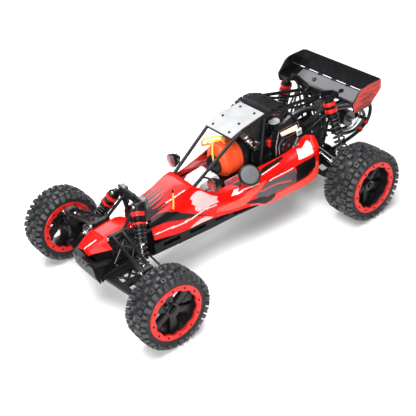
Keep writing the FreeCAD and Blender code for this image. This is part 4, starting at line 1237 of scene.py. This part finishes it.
def cockpit_details():
    """The yellow mast, the receiver box's screws and edges, and the sheets beside and above the tank."""
    shape = Shape(SATIN, HOSE, STEEL, INNER_PANEL)
    shape.rod((48, -142, 164), (49.4, -138, 190), 2.0, 12, HOSE)
    shape.rod((49.3, -138.4, 188), (50.2, -136.6, 212), 1.9, 12, HOSE)
    shape.lathe((50.1, -136.8, 210), (0.05, 0.07, 1), [(0, 2.4), (6, 2.4), (7.4, 1.2)], 12, SATIN)
    shape.lathe((48, -142, 164.5), (0.35, 0, 1), [(0, 4.4), (2, 4.4), (3.4, 3)], 16, SATIN)
    for s in (-1, 1):
        for y in (-42, -10):
            shape.bolt((s * 20, y, 175.6), (0, 0, 1), 2.2, 1.6, STEEL)
        shape.rod((s * 26, -58, 152), (s * 26, -4, 152), 1.2, 8, SATIN)
        shape.rod((s * 12, -56, 168.4), (s * 12, -4, 178.2), 1.0, 8, SATIN)
        shape.block((s * 46 - 1.2, 2, 112), (s * 46 + 1.2, 66, 166), INNER_PANEL, 0.5)
        panel_edge = [(64, 265), (134, 273), (122, 205)]
        prism(shape, panel_edge, s * 40.4 - 0.8, s * 40.4 + 0.8, SATIN, 0.2)
    shape.make("cockpit_parts", "chassis", "plastic_black", smooth=35)


def front_arm(side, flip):
    """The upper arm as two ridged rails that meet cross pieces at the inner barrel and the outer eye."""
    shape = Shape(SATIN, STEEL, BLACK)
    for inner, outer in (((39, -287, 166.8), (147, -295, 146.8)), ((39, -263.5, 166.8), (147, -277, 146.8))):
        a, b = Vector(inner), Vector(outer)
        along = (b - a).normalized()
        rings = []
        for t, w, h in ((0, 3.4, 6.0), (0.1, 2.6, 4.6), (0.5, 2.4, 4.0), (0.9, 2.8, 4.6), (1, 3.4, 5.4)):
            c = a.lerp(b, t)
            rings.append([c + Vector((0, u * w, v * h)) for u, v in ((-1, -0.9), (-1, 0.75), (-0.6, 1), (0.6, 1),
                                                                     (1, 0.75),
                                                                     (1, -0.9), (0.6, -1), (-0.6, -1))])
        shape.loops(rings, SATIN)
        shape.rod(a + along * 12 + Vector((0, 0, 4.6)), b - along * 12 + Vector((0, 0, 4.8)), 1.0, 8, BLACK)
    for t0, t1 in ((0.2, 0.42), (0.64, 0.42), (0.64, 0.86)):
        a = Vector((39, -287, 166)).lerp(Vector((147, -295, 146)), t0)
        b = Vector((39, -263.5, 166)).lerp(Vector((147, -277, 146)), t1)
        shape.rod(a, b, 2.4, 10, SATIN)
    shape.lathe((33, -290, 168), (0, 1, 0), [(0, 3.1), (0, 6.5), (0.5, 7), (29.5, 7), (30, 6.5), (30, 3.1)], 28,
                SATIN,
                wrap=True)
    for y0 in (-299, -277):
        shape.lathe((149, y0, 146), (0, 1, 0), [(0, 5.4), (0.5, 6), (4.5, 6), (5, 5.4)], 24, SATIN)
        shape.block((139, y0, 142), (149, y0 + 5, 150), SATIN, 0.6)
    shape.lathe((149, -300.2, 146), (0, 1, 0), [(0, 2.6), (0.5, 3), (28.5, 3), (29, 2.6)], 20, STEEL)
    arm = f"front_{side}_upper_arm"
    shape.make(f"front_{side}_upper_rails", arm, "plastic_black", [arm], smooth=35, flip=flip)


def lower_ribs(side, flip):
    """Ribs that cross the large window of the front lower arm."""
    ribs = Shape(SATIN)
    for x0, y0, x1, y1 in ((53, -309, 77, -280), (53, -284, 77, -267), (77, -300, 53, -267), (53, -296, 77, -296)):
        a, b = [(x, y, 88 - 22 / 116 * (x - 36)) for x, y in ((x0, y0), (x1, y1))]
        ribs.rod(a, b, 2.6, 10, SATIN)
    ribs.make(f"front_{side}_lower_ribs", f"front_{side}_lower_arm", "plastic_black", smooth=35, flip=flip)


def front_details():
    """Screws, ribs and pads of the front box, and the plates of the shock mount."""
    shape = Shape(STEEL, SATIN, DARK_STEEL, BLACK)
    for s in (-1, 1):
        for x, y, z in ((33, -297.4, 168), (36, -337.2, 88)):
            shape.bolt((s * x, y, z), (0, -1, 0), 4.0, 2.4, STEEL)
        shape.bolt((s * 40, -228.6, 214), (0, -1, 0), 4.6, 3.0, STEEL)
        for y in (-140, -40, 60, 160):
            shape.bolt((s * 50, y, 77.8), (0, 0, -1), 2.6, 1.6, STEEL)
        shape.bolt((s * 40, -209.4, 218), (0, -1, 0), 3.0, 2.0, DARK_STEEL)
        shape.block((s * 36 - 10, -209.5, 209), (s * 36 + 10, -196, 223), DARK_STEEL, 2)
    for x in (-14, 0, 14):
        shape.bolt((x, -349.4, 118), (0, -1, 0.2), 2.6, 1.8, DARK_STEEL)
    shape.block((-16, -214, 206), (16, -204, 226), BLACK, 2.5)
    for s in (-1, 1):
        slab = [(s * 54, -213, 205), (s * 31, -207, 209), (s * 33, -198, 178), (s * 40, -196, 170),
                (s * 52, -201, 174)]
        normal = Vector((0, 0.94, 0.34)) * 2.4
        rings = [[Vector(p) for p in slab], [Vector(p) + normal for p in slab]]
        shape.loops([list(reversed(r)) for r in rings] if s > 0 else rings, SATIN)
        shape.bolt((s * 45, -202.5, 196), (0, 0.94, 0.34), 2.6, 2.0, DARK_STEEL)
        shape.bolt((s * 42, -196.5, 179), (0, 0.94, 0.34), 2.6, 2.0, DARK_STEEL)
        for k in range(4):
            y = -291 + 11 * k
            shape.block((s * 27 - 1.6, y, 96), (s * 27 + 1.6, y + 2.4, 150), SATIN, 0.5)
        for z in (102, 122, 142):
            shape.block((s * 27 - 1.2, -294, z), (s * 27 + 1.2, -252, z + 2.4), SATIN, 0.5)
        shape.rod((s * 30, -294, 100), (s * 27, -256, 148), 2.2, 10, DARK_STEEL)
        shape.bolt((s * 27.6, -273, 158), (s, 0, 0), 3.0, 2.0, STEEL)
        shape.bolt((s * 27.6, -288, 90), (s, 0, 0), 3.0, 2.0, STEEL)
    shape.make("front_fasteners", "chassis", "steel", smooth=35)


engine_details()
rear_pipes()
gearbox_details()
cockpit_details()
front_details()
for side, flip in SIDES:
    front_arm(side, flip)
    lower_ribs(side, flip)
